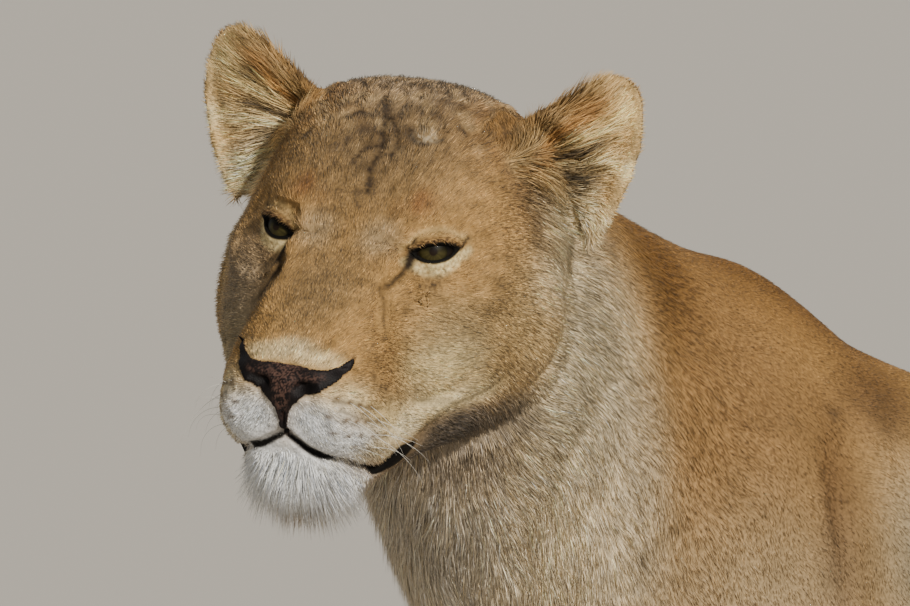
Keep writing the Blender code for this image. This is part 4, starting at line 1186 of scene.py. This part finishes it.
BODY_LIE = [
    ((0.02, -0.25, 1.06), (0, 0.85, -0.35)), ((0.12, -0.30, 0.98), (0.1, 0.45, -0.9)),
    ((0.10, -0.30, 0.86), (0, 0.2, -1)), ((0.12, -0.20, 0.95), (0.1, 0.7, -0.7)),
    ((0.04, -0.36, 0.85), (0, 0.1, -1)), ((0.04, -0.30, 0.72), (0, 0.1, -1)),
    ((0.14, -0.05, 0.90), (0, 0.5, -0.85)), ((0.14, 0.00, 0.75), (0, 0.3, -1)),
    ((0.05, 0.00, 1.00), (0, 1, -0.15)), ((0.00, 0.20, 1.00), (0, 1, 0)), ((0.00, 0.60, 0.98), (0, 1, 0)),
    ((0.15, 0.20, 0.80), (0, 0.85, -0.5)), ((0.15, 0.45, 0.75), (0, 0.85, -0.5)),
    ((0.05, 0.30, 0.52), (0, 0.95, -0.3)), ((0.10, 0.80, 0.90), (0, 0.7, -0.7)),
    ((0.15, 0.70, 0.75), (0, 0.5, -0.85)), ((0.12, 0.85, 0.70), (0, 0.1, -1)),
    ((0.12, 0.70, 0.45), (0, 0.3, -1)), ((0.10, -0.05, 0.45), (0, 0.2, -1)),
    ((0.10, 0.00, 0.20), (0, 0.1, -1)), ((0.12, 0.80, 0.25), (0, 0.1, -1)),
    ((0.10, -0.10, 0.04), (0, -0.8, -0.5)), ((0.12, 0.72, 0.04), (0, -0.8, -0.5)),
    ((0.00, 0.92, 0.50), (0, 0.15, -1)), ((0.00, 1.00, 0.15), (0, 0.3, -1)),
]


def guided(points, guides, reach):
    """The hair's way at each place: the guides near it, the nearest counting most."""
    total = np.zeros((len(points), 3))
    for place, way in guides:
        for side in (1, -1) if place[0] else (1,):
            mirror = np.array((side, 1, 1))
            away = np.linalg.norm(points - np.array(place) * mirror, axis=1)
            share = bell(away, reach) + 1e-4 / (0.1 + (away / reach) ** 4)
            total += share[:, None] * (np.array(way) * mirror / np.linalg.norm(way))
    return total


def unit(vectors):
    return vectors / np.maximum(np.linalg.norm(vectors, axis=1), 1e-9)[:, None]


def lie(points, normals):
    """The way the hair points along the skin at each place."""
    local = to_head(points)
    body = unit(guided(points, BODY_LIE, 0.16))
    away = from_middle(local)
    share = fall(away, 150, 250)[:, None]
    head = unit(guided(local, HEAD_LIE, 32.0)) @ HEAD_TURNED.T
    way = unit(body * (1 - share) + head * share)
    for side in (1, -1):
        x, y, _, near = before_eye(local, side)
        over = near * smooth_step(y - LID_MIDDLE[1], 0, 3)
        over = (over * fall(lid_distance(x, y, DARK_RIM), 1.5, 5.5))[:, None]
        way = way * (1 - over) + unit(np.array([(0.75 * side, -0.15, -0.55)])) @ HEAD_TURNED.T * over
        a, c, _ = ear_coordinates(local, side)
        here = (ear_share(local) * (np.sign(local[:, 0]) == side) * smooth_step(a, 2, 14))[:, None]
        _, along, across, opening = (HEAD_TURNED @ np.array(v) for v in ear_frame(side))
        facing = smooth_step(normals @ opening, -0.2, 0.2)[:, None]
        angle, reach = ear_fan(a, c)
        angle = np.radians(np.clip(angle, -40, 105))[:, None]
        ear = facing * (np.cos(angle) * along + np.sin(angle) * across) + (1 - facing) * along
        steady = smooth_step(reach, 4, 26)[:, None]
        toward = unit((0.55 * along + 0.85 * across)[None])
        way = way * (1 - here) + (ear * steady + toward * (1 - steady)) * here
    return unit(way - normals * (way * normals).sum(axis=1)[:, None])


# ---- tufts
# Each kind: tufts to the square centimetre, length and width in millimetres, and how far they
# stand off the skin, in degrees
TRUNK, BELLY, LEG, PAW = (5.4, 12, 1.5, 7), (4, 20, 1.8, 12), (4.4, 10, 1.6, 8), (10, 6, 1.1, 11)
NECK, SHOULDER, RUFF = (25, 9.5, 0.64, 10), (29, 6.2, 0.64, 9), (27, 13, 0.66, 14)
THROAT, EAR_TUFT = (22, 28, 0.8, 14), (44, 24, 0.6, 22)
FACE, CROWN, PAD, CHIN = (58, 5.6, 0.62, 12), (44, 7.5, 0.66, 17), (60, 5.2, 0.55, 13), (60, 26, 0.5, 32)
EAR_IN, EAR_BACK, TAIL_TUFT = (64, 20, 0.48, 14), (34, 6.5, 0.75, 8), (24, 42, 1.3, 12)


def ear_rim(a, c):
    """How far places on an ear are inside its rim, in millimetres."""
    v = np.clip(a / (EAR_LENGTH * 1000), 0, 1)
    outer = ((0.51 - 0.10 * v) * np.sqrt(1 - v**2.2) - 0.05 * v) * EAR_WIDTH * 1000
    tip = EAR_LENGTH * 1000 - a
    return np.minimum(outer - c, tip)


def round_patch(points, place, reach):
    """1 in the middle of a soft round patch of the given reach."""
    return np.exp(-((((points - place) / reach) ** 2).sum(axis=1)))


def coat_plan(points, normals):
    """Tufts to the square centimetre, length, width and lift for each place of the skin."""
    local = to_head(points)
    folded = folded_over(local)
    away = from_middle(local)
    plan = np.tile(np.array(TRUNK, dtype=float), (len(points), 1))

    def lay(kind, share):
        plan[:] = plan + (np.array(kind) - plan) * np.clip(share, 0, 1)[:, None]

    def about(place, reach):
        return round_patch(folded, place, reach)

    z = points[:, 2]
    lay(BELLY, smooth_step(-normals[:, 2], 0.3, 0.8) * smooth_step(z, 0.4, 0.5))
    lay(SHOULDER, fall(points[:, 1], 0.04, 0.14) * smooth_step(z, 0.62, 0.72))
    lay(NECK, fall(points[:, 1], -0.24, -0.14))
    lay(LEG, fall(z, 0.48, 0.60))
    lay(PAW, fall(z, 0.07, 0.12))
    lay(TAIL_TUFT, tail_tuft_share(points))
    head = fall(away, 165, 215)
    lay(RUFF, head * fall(away, 175, 215))
    lay(FACE, fall(away, 120, 175))
    lay(CROWN, head * smooth_step(local[:, 2], 25, 60))
    lay(RUFF, about((108, 92, -60), (30, 34, 50)) + about((90, 40, -118), (40, 60, 24)))
    lay(THROAT, 1.3 * round_patch(points, (0.02, -0.40, 0.86), (0.09, 0.09, 0.10)))
    lay(THROAT, 0.8 * round_patch(points, (0.08, -0.35, 0.78), (0.06, 0.06, 0.12)))
    lay(PAD, about((30, -108, -84), (34, 34, 24)) * 1.3)
    lay(CHIN, 2.2 * about((0, -96, -134), (42, 36, 22)) * fall(local[:, 2], -116, -106))
    ear = ear_share(local)
    opening = np.zeros(len(points))
    for side in (1, -1):
        facing = normals @ (HEAD_TURNED @ np.array(ear_frame(side)[3]))
        opening = np.where(np.sign(local[:, 0]) == side, facing, opening)
    lay(EAR_BACK, ear * fall(opening, -0.2, 0.1))
    inside = ear * smooth_step(opening, -0.2, 0.1)
    lay(EAR_IN, inside)
    for side in (1, -1):
        a, c, _ = ear_coordinates(local, side)
        angle, reach = ear_fan(a, c)
        own = inside * (np.sign(local[:, 0]) == side)
        rim = ear_rim(a, c)
        headward = fall(c, -38, -14)
        longer = (np.clip(rim * 0.9, 5, 32) * (1 - 0.86 * headward)) / EAR_IN[1]
        plan[:, 1] *= 1 + (longer - 1) * own
        plan[:, 3] *= 1 + (smooth_step(rim, 2, 14) - 0.8) * own
        dark = bell(angle - 56, 11) * smooth_step(reach, 14, 24)
        plan[:, 0] *= 1 - 0.75 * dark * fall(reach, 54, 62) * own
    lay(EAR_TUFT, 1.6 * about((98, 97, 6), (20, 20, 18)))
    bare = nose_share(local) > 0.3
    for side in (1, -1):
        x, y, _, here = before_eye(local, side)
        rim = lid_distance(x, y, DARK_RIM)
        bare |= here & (rim < 0.4)
        upper = smooth_step(y - LID_MIDDLE[1], 0, 4)
        lids = here * fall(rim, 1, 14)
        plan[:, 1] *= 1 - lids * (0.62 - 0.55 * upper)
    near = away < 190
    marks = np.zeros(len(points))
    marks[near] = mark_share(local[near], normals[near])
    plan[:, 1] *= 1 - 0.62 * marks
    lips = lip_distance(folded)
    bare |= lips < lip_width(folded)
    plan[:, 1] *= 0.25 + 0.75 * smooth_step(lips, 3, 18)
    bare |= z < SOLE_LEVEL + 0.003
    plan[bare, 0] = 0
    return plan


def mark_share(local, normals):
    """1 on the narrow dark lines and spots of the head, where the hair is short."""
    ways = normals @ HEAD_TURNED
    folded = folded_over(local)
    folded_ways = folded_with(local, ways)
    shares = [np.zeros(len(local))]
    for line, width, _ in WRINKLES:
        shares.append(bell(nearest_on(line, local, ways)[0], width + 2))
    for line, width, _, sides in DARK_LINES:
        line_share = bell(nearest_on(line, folded, folded_ways)[0], width + 2.2)
        shares.append(line_share * np.isin(np.sign(local[:, 0]), sides))
    for x, y, z, reach in HEAD_SPOTS:
        shares.append(spot_share(local, ways, (x, y, z), reach + 1.5))
    for side in (1, -1):
        x, y, _, near = before_eye(local, side)
        for line, width in EYE_LINES:
            away = nearest_on(line, np.column_stack((x, y)))[0]
            shares.append(near * bell(away, width + 2))
    return np.max(shares, axis=0)


def skin_triangles(mesh):
    mesh.calc_loop_triangles()
    corners = np.empty(len(mesh.loop_triangles) * 3, dtype=np.int64)
    mesh.loop_triangles.foreach_get("vertices", corners)
    return corners.reshape(-1, 3)


def scatter(mesh, rng):
    """Roots of the tufts all over the skin, with the skin's normal and each tuft's plan."""
    corners = skin_triangles(mesh)
    points, normals = points_of(mesh), normals_of(mesh)
    a, b, c = (points[corners[:, k]] for k in range(3))
    area = np.linalg.norm(np.cross(b - a, c - a), axis=1) / 2 * 1e4
    plan = coat_plan((a + b + c) / 3, unit(normals[corners].mean(axis=1)))
    wanted = plan[:, 0] * area * TUFT_SHARE
    count = np.floor(wanted + rng.random(len(wanted))).astype(int)
    owner = np.repeat(np.arange(len(count)), count)
    u, v = rng.random(len(owner)), rng.random(len(owner))
    flip = u + v > 1
    u[flip], v[flip] = 1 - u[flip], 1 - v[flip]
    w = 1 - u - v
    roots = a[owner] * w[:, None] + b[owner] * u[:, None] + c[owner] * v[:, None]
    n = normals[corners[owner]]
    normal = unit(n[:, 0] * w[:, None] + n[:, 1] * u[:, None] + n[:, 2] * v[:, None])
    return roots, normal, plan[owner]


def coat_map(points):
    """Each root's place on an unwrap of the body: round it and along it, from 0 to 1."""
    local = to_head(points)
    head = from_middle(local) < 200
    round_head = np.arctan2(local[:, 0], local[:, 2] + 40) / (2 * math.pi) + 0.5
    along_head = (local[:, 1] + 160) / 400
    round_body = np.arctan2(points[:, 0], points[:, 2] - 0.78) / (2 * math.pi) + 0.5
    along_body = (points[:, 1] + 0.45) / 1.6
    low = points[:, 2] < 0.55
    leg = (points[:, 0] > 0) + 2.0 * (points[:, 1] > 0.4)
    turn = np.arctan2(points[:, 0] - np.sign(points[:, 0]) * 0.1, points[:, 1] % 0.75)
    round_leg = (turn / (2 * math.pi) + 0.5 + leg) / 4
    u = np.where(head, round_head, np.where(low, round_leg, round_body))
    v = np.where(head, along_head, np.where(low, points[:, 2] / 0.56, along_body))
    return np.clip(np.column_stack((u, v)), 0.004, 0.996)


SHORT_FACES = np.array([(0, 1, 3), (1, 2, 3), (2, 0, 3), (0, 2, 1)])
LONG_FACES = np.array([
    (0, 1, 4), (0, 4, 3), (1, 2, 5), (1, 5, 4), (2, 0, 3), (2, 3, 5), (3, 4, 6), (4, 5, 6), (5, 3, 6),
    (0, 2, 1),
])
PATCH = 0.0015  # half of a tuft's patch on the coat's map
ROOT_DEPTH = 0.0004  # metres of each tuft that lie in the skin


def tuft_mesh(name, roots, normals, ways, sizes, tone, long):
    """One mesh of solid tapered tufts: three corners at the root and a tip, long ones bent once."""
    count = len(roots)
    length, width, lift = sizes[:, 0] / 1000, sizes[:, 1] / 1000, np.radians(sizes[:, 2])
    aside = unit(np.cross(normals, ways))
    half = aside * (width / 2)[:, None]
    rise = ways * np.cos(lift)[:, None] + normals * np.sin(lift)[:, None]
    high = unit(np.cross(rise, aside)) * -1
    high *= np.sign((high * normals).sum(axis=1))[:, None]
    low = roots - normals * ROOT_DEPTH
    keel = low + high * (width * 0.4)[:, None]
    if long:
        bend = unit(rise + normals * np.sin(lift)[:, None] * 0.3)
        droop = unit(ways + normals * 0.15 * np.sin(lift)[:, None])
        middle = low + bend * (length * 0.5)[:, None]
        tip = middle + unit(droop * 0.7 + rise * 0.5) * (length * 0.5)[:, None]
        rings = [low + half, keel, low - half]
        rings += [middle + half * 0.75, middle + high * (width * 0.3)[:, None], middle - half * 0.75, tip]
        faces, shade = LONG_FACES, (0.74, 0.82, 0.74, 1.0, 1.02, 1.0, 1.16)
        spread = [(-1, -1), (0, -1), (1, -1), (-1, 0), (0, 0), (1, 0), (0, 1)]
    else:
        rings = [low + half, keel, low - half, low + rise * length[:, None]]
        faces, shade = SHORT_FACES, (0.92, 1.0, 0.92, 1.20)
        spread = [(-1, -1), (0, -0.5), (1, -1), (0, 1)]
    corners = len(rings)
    places = np.stack(rings, axis=1).reshape(-1, 3)
    index = (np.arange(count)[:, None, None] * corners + faces[None]).reshape(-1, 3)
    mesh = bpy.data.meshes.new(name)
    mesh.vertices.add(len(places))
    mesh.vertices.foreach_set("co", places.ravel())
    mesh.loops.add(index.size)
    mesh.loops.foreach_set("vertex_index", index.ravel())
    mesh.polygons.add(len(index))
    mesh.polygons.foreach_set("loop_start", np.arange(0, index.size, 3))
    mesh.update(calc_edges=True)
    # darker at the root and on the flanks, paler at the tip and along the top ridge: partly the hair's own
    # paler tip, partly painted shade where the coat shades itself and painted light on the ridge
    shades = tone[:, None, :] * np.array(shade)[None, :, None]
    give_tones(mesh, np.clip(shades.reshape(-1, 3), 0, 1))
    patch = coat_map(roots)[:, None, :] + np.array(spread)[None] * PATCH
    chart = mesh.uv_layers.new(name="OFBake")
    chart.data.foreach_set("uv", patch.reshape(-1, 2)[index.ravel()].ravel())
    return mesh


def coat_regions(points):
    """The coat piece each root belongs to, by name."""
    local = to_head(points)
    away = from_middle(local)
    left = np.where(points[:, 0] > 0, "left", "right")
    head_left = np.where(local[:, 0] > 0, "left", "right")
    name = np.where(points[:, 1] < 0.42, "flank_", "haunch_").astype("U24")
    name = np.where(points[:, 1] < 0.06, "shoulder_", name)
    name = np.where(points[:, 1] < -0.17, "neck_", name)
    name = np.where(points[:, 2] < 0.56, "leg_", name)
    fore = np.where(points[:, 1] < 0.42, "fore_", "hind_")
    low = points[:, 2] < 0.56
    name = np.char.add(np.where(low, np.char.add(fore, name), name), left)
    back_end = (points[:, 1] > 0.885) & (np.abs(points[:, 0]) < 0.07)
    name = np.where(back_end, "tail", name)
    name = np.where(back_end & (points[:, 2] < 0.2), "tail_tuft", name)
    name = np.where(away < 205, np.char.add("head_", head_left), name)
    name = np.where((away < 205) & (local[:, 1] < -20), np.char.add("face_", head_left), name)
    return np.where((ear_share(local) > 0.5) & (away < 230), np.char.add("ear_", head_left), name)


# Each tuft has the colour of the skin under its middle: metres ahead of its root for each
# millimetre of its length, up to this length
TONE_AHEAD, LONGEST_AHEAD = 0.00035, 12.0


def grow_coat(skin):
    """All the tufts, in pieces by region."""
    rng = np.random.default_rng(SEED)
    roots, normals, plan = scatter(skin.data, rng)
    ways = lie(roots, normals)
    crown = round_patch(to_head(roots), (0, 95, 76), (70, 50, 40))
    swirl = 0.18 * noise(roots, 0.05, 11) + 0.6 * crown * noise(roots, 0.014, 12)
    swirl += rng.normal(0, 0.13, len(roots))
    ways = unit(ways + np.cross(normals, ways) * swirl[:, None])
    sizes = plan[:, 1:].copy()
    sizes[:, 0] *= rng.uniform(0.72, 1.18, len(roots))
    sizes[:, 1] *= rng.uniform(0.75, 1.25, len(roots))
    sizes[:, 2] *= rng.uniform(0.6, 1.5, len(roots))
    ahead = np.minimum(sizes[:, 0], LONGEST_AHEAD) * TONE_AHEAD
    tone = tones(roots + ways * ahead[:, None], normals)
    variety = 0.25 - 0.11 * smooth_step(from_middle(to_head(roots)), 160, 260)
    depth = (1 + variety * rng.normal(0, 1, len(roots))).clip(0.5, 1.55)
    kind = rng.random(len(roots))
    depth = np.where(kind < 0.10, depth * (1 - 2.2 * variety), depth)
    depth = np.where(kind > 0.86, depth * (1 + 2.2 * variety), depth)
    tone *= depth[:, None]
    warm = rng.normal(0, 0.05, len(roots))
    tone *= np.column_stack((1 + 0.6 * warm, np.ones(len(roots)), 1 - 1.6 * warm))
    regions = coat_regions(roots)
    for region in sorted(set(regions)):
        inside = np.nonzero(regions == region)[0]
        slot = "ear_fur" if region.startswith("ear") else "dark_tuft" if region == "tail_tuft" else "coat"
        long = slot != "coat"
        parts = math.ceil(len(inside) * len(LONG_FACES if long else SHORT_FACES) / MOST_FACES)
        for k in range(parts):
            some = inside[k::parts]
            name = "coat_" + region + ("_%d" % (k + 1) if parts > 1 else "")
            each = (data[some] for data in (roots, normals, ways, sizes, tone))
            add_piece(name, tuft_mesh(name, *each, long), coat_material(slot))


# ---- finishes
def material(name, roughness, colour=None):
    """A plain finish whose colour is the mesh's own tone unless one is given."""
    made = bpy.data.materials.new(name)
    made.use_nodes = True
    shader = made.node_tree.nodes["Principled BSDF"]
    shader.inputs["Roughness"].default_value = roughness
    if colour:
        shader.inputs["Base Color"].default_value = (*colour, 1)
    return made, made.node_tree, shader


def grain_of(tree, place, size, detail):
    """A fine grain of the given size, by place."""
    grain = tree.nodes.new("ShaderNodeTexNoise")
    grain.inputs["Scale"].default_value = size
    grain.inputs["Detail"].default_value = detail
    tree.links.new(place.outputs["Object"], grain.inputs["Vector"])
    return grain.outputs["Fac"]


def toned(name, roughness, shine, variety, size, bump=None):
    """A finish coloured by the mesh's tone with a little fine variety, and a raised grain if given."""
    made, tree, shader = material(name, roughness)
    shader.inputs["Specular IOR Level"].default_value = shine
    tone = tree.nodes.new("ShaderNodeAttribute")
    tone.attribute_name = "tone"
    place = tree.nodes.new("ShaderNodeTexCoord")
    span = tree.nodes.new("ShaderNodeMapRange")
    ends = {"From Min": 0.3, "From Max": 0.7, "To Min": 1 - variety, "To Max": 1 + variety}
    for end, value in ends.items():
        span.inputs[end].default_value = value
    tree.links.new(grain_of(tree, place, size, 3.0), span.inputs["Value"])
    both = tree.nodes.new("ShaderNodeVectorMath")
    both.operation = "SCALE"
    tree.links.new(tone.outputs["Color"], both.inputs[0])
    tree.links.new(span.outputs["Result"], both.inputs["Scale"])
    tree.links.new(both.outputs["Vector"], shader.inputs["Base Color"])
    if bump:
        grain, height, strength = bump
        raised = tree.nodes.new("ShaderNodeBump")
        raised.inputs["Distance"].default_value = height
        raised.inputs["Strength"].default_value = strength
        tree.links.new(grain_of(tree, place, grain, 2.0), raised.inputs["Height"])
        tree.links.new(raised.outputs["Normal"], shader.inputs["Normal"])
    return made, shader


MATERIALS = {}


def coat_material(name):
    if name not in MATERIALS:
        made, shader = toned(name + "_hair", 0.62, 0.18, 0.06, 260.0)
        shader.inputs["Sheen Weight"].default_value = 0.03
        shader.inputs["Sheen Roughness"].default_value = 0.45
        MATERIALS[name] = made
    return MATERIALS[name]


def skin_material():
    return toned("short_coat", 0.75, 0.08, 0.24, 520.0, bump=(700.0, 0.0008, 0.6))[0]


def nose_material():
    return toned("nose_leather", 0.55, 0.12, 0.22, 260.0, bump=(900.0, 0.0006, 0.7))[0]


def eye_material():
    made, shader = toned("wet_eye", 0.45, 0.08, 0.05, 900.0)
    shader.inputs["Coat Weight"].default_value = 0.04
    shader.inputs["Coat Roughness"].default_value = 0.05
    return made


# ---- pieces
def model_shift():
    """From the ground under the shoulder blades to the model's own origin, by the left eye's place."""
    low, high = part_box("eye_left")
    return (Vector(low) + Vector(high)) / 2 - HEAD @ Vector(EYE_PLACE)


SHIFT = model_shift()


def add_piece(name, mesh, finish, stands_for=()):
    """Places a finished mesh in the model's frame and ties it to the body."""
    mesh.transform(Matrix.Translation(SHIFT))
    mesh.shade_smooth()
    mesh.materials.clear()
    mesh.materials.append(finish)
    thing = bpy.data.objects.new(name, mesh)
    bpy.context.scene.collection.objects.link(thing)
    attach(thing, "root")
    if stands_for:
        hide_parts(*stands_for)
    return thing


PAD_LIFT, PAD_THICKNESS = 0.0008, 0.0035  # metres


def add_nose(skin):
    """The bare pad of the nose, a thin shell over the skin with its nostrils."""
    share = nose_share(to_head(points_of(skin)))
    bm = opened(skin)
    bm.verts.ensure_lookup_table()
    away = [v for v in bm.verts if share[v.index] < 0.35]
    bmesh.ops.delete(bm, geom=away, context="VERTS")
    for vert in bm.verts:
        vert.co += vert.normal * PAD_LIFT
    bmesh.ops.solidify(bm, geom=bm.faces, thickness=PAD_THICKNESS)
    bmesh.ops.recalc_face_normals(bm, faces=bm.faces)
    made = shut(bm, "nose_pad")
    points = points_of(made)
    local = to_head(points)
    across, z = np.abs(local[:, 0]), local[:, 2]
    tone = np.tile(np.array((0.008, 0.006, 0.006)), (len(local), 1))
    speckle = smooth_step(noise(points, 0.0020, 21) + 0.5 * noise(points, 0.006, 22), -0.5, 0.9)
    column = np.exp(-((across / np.interp(z, (-84, -66, -56), (3.0, 6.5, 12))) ** 4))
    column = column * smooth_step(z, -92, -72)
    band = bell(z + 54 + 0.08 * across, 3.2) * fall(across, 24, 31)
    tone = mixed(tone, (0.115, 0.062, 0.046), np.maximum(column, 0.8 * band) * speckle * 0.75)
    # painted shade in the nostrils' openings, darker than the pad
    nostril_shade = np.exp(-(((across - 22) / 12) ** 4) - (((z + 62 - 0.35 * (across - 22)) / 4.6) ** 4))
    tone = mixed(tone, (0.004, 0.003, 0.003), nostril_shade)
    give_tones(made, tone)
    return add_piece("nose_pad", made, nose_material(), ("nose",))


IRIS_RADIUS, PUPIL_RADIUS = 9.2, 2.6  # millimetres
EYE_ROUND = 72


def eye_mesh(side, rng):
    """An eyeball with a bulge in front; its iris is streaked, with a dark rim and a round pupil, and darker
    at the top as painted shadow of the upper lid.
    """
    axis = LID_AXIS * (side, 1, 1)
    axis = axis / np.linalg.norm(axis)
    axis = unit((axis + np.array((-0.05 * side, 0, 0.14)))[None])[0]
    level = unit(np.cross((0, 0, 1), axis)[None])[0]
    upright = np.cross(axis, level)
    edge = math.asin(IRIS_RADIUS / EYE_SIZE)
    front = np.linspace(0, edge * 1.15, 36, endpoint=False)
    angles = np.concatenate((front, np.linspace(edge * 1.15, math.pi, 24)))
    rows, tone = [], []
    turn = np.linspace(0, 2 * math.pi, EYE_ROUND, endpoint=False)
    streak = rng.normal(0, 1, EYE_ROUND)
    streak = (streak + np.roll(streak, 1)) / 2
    around = level * np.cos(turn)[:, None] + upright * np.sin(turn)[:, None]
    for angle in angles:
        bulge = 0.55 * max(0.0, 1 - (angle / edge) ** 2)
        ring = axis * math.cos(angle) + around * math.sin(angle)
        rows.append(ring * (EYE_SIZE - 0.35 + bulge))
        r = EYE_SIZE * math.sin(angle) if angle < math.pi / 2 else 99
        iris = np.array((0.034, 0.028, 0.009)) * (1 + 0.22 * streak[:, None])
        iris = iris * np.interp(r, (2.6, 4.2, 7.4, 9.2), (0.75, 1.15, 0.9, 0.3))
        if r < PUPIL_RADIUS:
            iris = np.tile((0.012, 0.007, 0.004), (EYE_ROUND, 1))
        if r > IRIS_RADIUS:
            iris = np.tile((0.010, 0.007, 0.005), (EYE_ROUND, 1))
        # painted shadow of the upper lid over the iris's top
        lid_shadow = smooth_step(min(r, EYE_SIZE) * np.sin(turn), -1.5, 3.5)
        iris = iris * (1 - 0.85 * lid_shadow)[:, None]
        tone.append(np.clip(iris, 0, 1))
    points = from_head(np.concatenate(rows) + EYE_MIDDLE * (side, 1, 1))
    faces = []
    for start in range(0, (len(angles) - 1) * EYE_ROUND, EYE_ROUND):
        after = start + EYE_ROUND
        for k in range(EYE_ROUND):
            n = (k + 1) % EYE_ROUND
            faces.append((start + k, after + k, after + n, start + n))
    mesh = bpy.data.meshes.new("eye")
    mesh.from_pydata(points.tolist(), [], faces)
    give_tones(mesh, np.concatenate(tone))
    bm = opened(mesh)
    bmesh.ops.remove_doubles(bm, verts=bm.verts, dist=1e-6)
    bmesh.ops.recalc_face_normals(bm, faces=bm.faces)
    return shut(bm, mesh)


WHISKER_RADIUS, WHISKER_TIP, WHISKER_STEPS = 0.00015, 0.00005, 9  # metres at the root and the tip


def hair_tube(bm, start, way, sag, length, thick):
    """A thin tapered hair that bends down along its length."""
    side = Vector(way).cross(Vector((0, 0, 1))).normalized()
    rings = []
    place = Vector(start)
    heading = Vector(way).normalized()
    for i in range(WHISKER_STEPS + 1):
        radius = thick * (1 - i / WHISKER_STEPS) + WHISKER_TIP
        up = side.cross(heading).normalized()
        corners = [side * math.cos(a) + up * math.sin(a) for a in (0.0, 2.094, 4.189)]
        rings.append([bm.verts.new(place + corner * radius) for corner in corners])
        heading = (heading + Vector(sag) * (1.0 / WHISKER_STEPS)).normalized()
        place = place + heading * (length / WHISKER_STEPS)
    for one, two in zip(rings, rings[1:]):
        for k in range(3):
            n = (k + 1) % 3
            bm.faces.new((one[k], one[n], two[n], two[k]))
    bm.faces.new(rings[0][::-1])
    bm.faces.new(rings[-1])


def add_whiskers(skin):
    """Long pale whiskers from the pads, drooping back."""
    work = opened(skin)
    skin_tree = BVHTree.FromBMesh(work)
    work.free()
    turned = HEAD.to_3x3()
    rng = np.random.default_rng(SEED + 1)
    for side, name in SIDES:
        bm = bmesh.new()
        for x, y, z in WHISKER_ROOTS:
            start = HEAD @ (Vector((side * x, y, z)) / 1000.0)
            near = skin_tree.find_nearest(start)[0]
            way = Vector((side * rng.uniform(0.6, 1.0), rng.uniform(-0.2, 0.7), rng.uniform(-0.6, 0.15)))
            sag = Vector((-side * rng.uniform(0.0, 0.5), rng.uniform(0.2, 1.0), -rng.uniform(0.4, 1.6)))
            long = rng.uniform(0.022, 0.052) * (0.7 + 0.3 * (x > 40))
            hair_tube(bm, near, turned @ way, turned @ sag, long, WHISKER_RADIUS)
        bmesh.ops.recalc_face_normals(bm, faces=bm.faces)
        finish = material("whiskers", 0.4, (0.75, 0.72, 0.64))[0]
        add_piece("whiskers_" + name, shut(bm, "whiskers"), finish)


# ---- camera, floor and light
CAMERA_WAY, CAMERA_HEIGHT, CAMERA_AWAY = 50.0, 6.0, 7.0  # degrees round the model, degrees up, metres
VIEW_WIDTH = 0.5871  # metres of the model across the picture at the eyes' distance
VIEW_ASIDE, VIEW_BELOW = 0.0652, 0.0406  # the picture's middle from the eyes


def set_camera():
    """A long lens a little above the face, ahead of the left shoulder."""
    a, e = math.radians(CAMERA_WAY), math.radians(CAMERA_HEIGHT)
    right = Vector((math.cos(a), math.sin(a), 0))
    back = Vector((math.sin(a) * math.cos(e), -math.cos(a) * math.cos(e), math.sin(e)))
    up = back.cross(right)
    data = bpy.data.cameras.new("camera")
    data.sensor_width = 36.0
    data.lens = 36.0 * CAMERA_AWAY / VIEW_WIDTH
    data.clip_end = 100.0
    camera = bpy.data.objects.new("camera", data)
    bpy.context.scene.collection.objects.link(camera)
    camera.location = EYES_AT + SHIFT + right * VIEW_ASIDE - up * VIEW_BELOW + back * CAMERA_AWAY
    camera.rotation_euler = back.to_track_quat("Z", "Y").to_euler()
    bpy.context.scene.camera = camera
    return right, back


def add_floor():
    bpy.ops.mesh.primitive_plane_add(size=60, location=(0, 0, 0))
    floor = bpy.context.object
    floor.name = "floor"
    made, _, _ = material("pale_floor", 0.9, (0.52, 0.48, 0.42))
    floor.data.materials.append(made)


def add_light(name, way, strength, angle, colour):
    data = bpy.data.lights.new(name, "SUN")
    data.energy = strength
    data.angle = math.radians(angle)
    data.color = colour
    lamp = bpy.data.objects.new(name, data)
    bpy.context.scene.collection.objects.link(lamp)
    lamp.rotation_mode = "QUATERNION"
    lamp.rotation_quaternion = Vector(way).to_track_quat("Z", "Y")


def set_light(right, back):
    """A sun above the camera's right, a weak wide fill from below it and a pale sky all round."""
    up = Vector((0, 0, 1))
    add_light("key", back * 1.0 + right * 0.5 + up * 0.45, 5.0, 5, (1.0, 0.95, 0.87))
    add_light("fill", back * 0.9 + right * 0.1 - up * 0.2, 0.35, 60, (0.92, 0.96, 1.0))
    world = bpy.data.worlds.new("sky")
    bpy.context.scene.world = world
    world.use_nodes = True
    sky = world.node_tree.nodes["Background"]
    sky.inputs["Color"].default_value = (0.76, 0.79, 0.80, 1)
    sky.inputs["Strength"].default_value = 0.46


def build():
    skin = fine_skin()
    flatten_soles(skin.data)
    sink(skin.data)
    fine = skin.data.copy()
    thin_skin(skin)
    grow_coat(skin)
    rng = np.random.default_rng(SEED + 2)
    for side, name in SIDES:
        eye = eye_mesh(side, rng)
        add_piece("eyeball_" + name, eye, eye_material(), ("eye_" + name,))
    add_nose(fine)
    add_whiskers(skin.data)
    mesh = skin.data
    tone = bare_tones(tones(points_of(mesh), normals_of(mesh)), points_of(mesh))
    give_tones(mesh, tone * SKIN_SHADE)
    bpy.data.objects.remove(skin)
    flesh = [name for name in frame["nodes"] if name not in ("eye_left", "eye_right", "nose")]
    add_piece("skin", mesh, skin_material(), flesh)


build()
add_floor()
set_light(*set_camera())
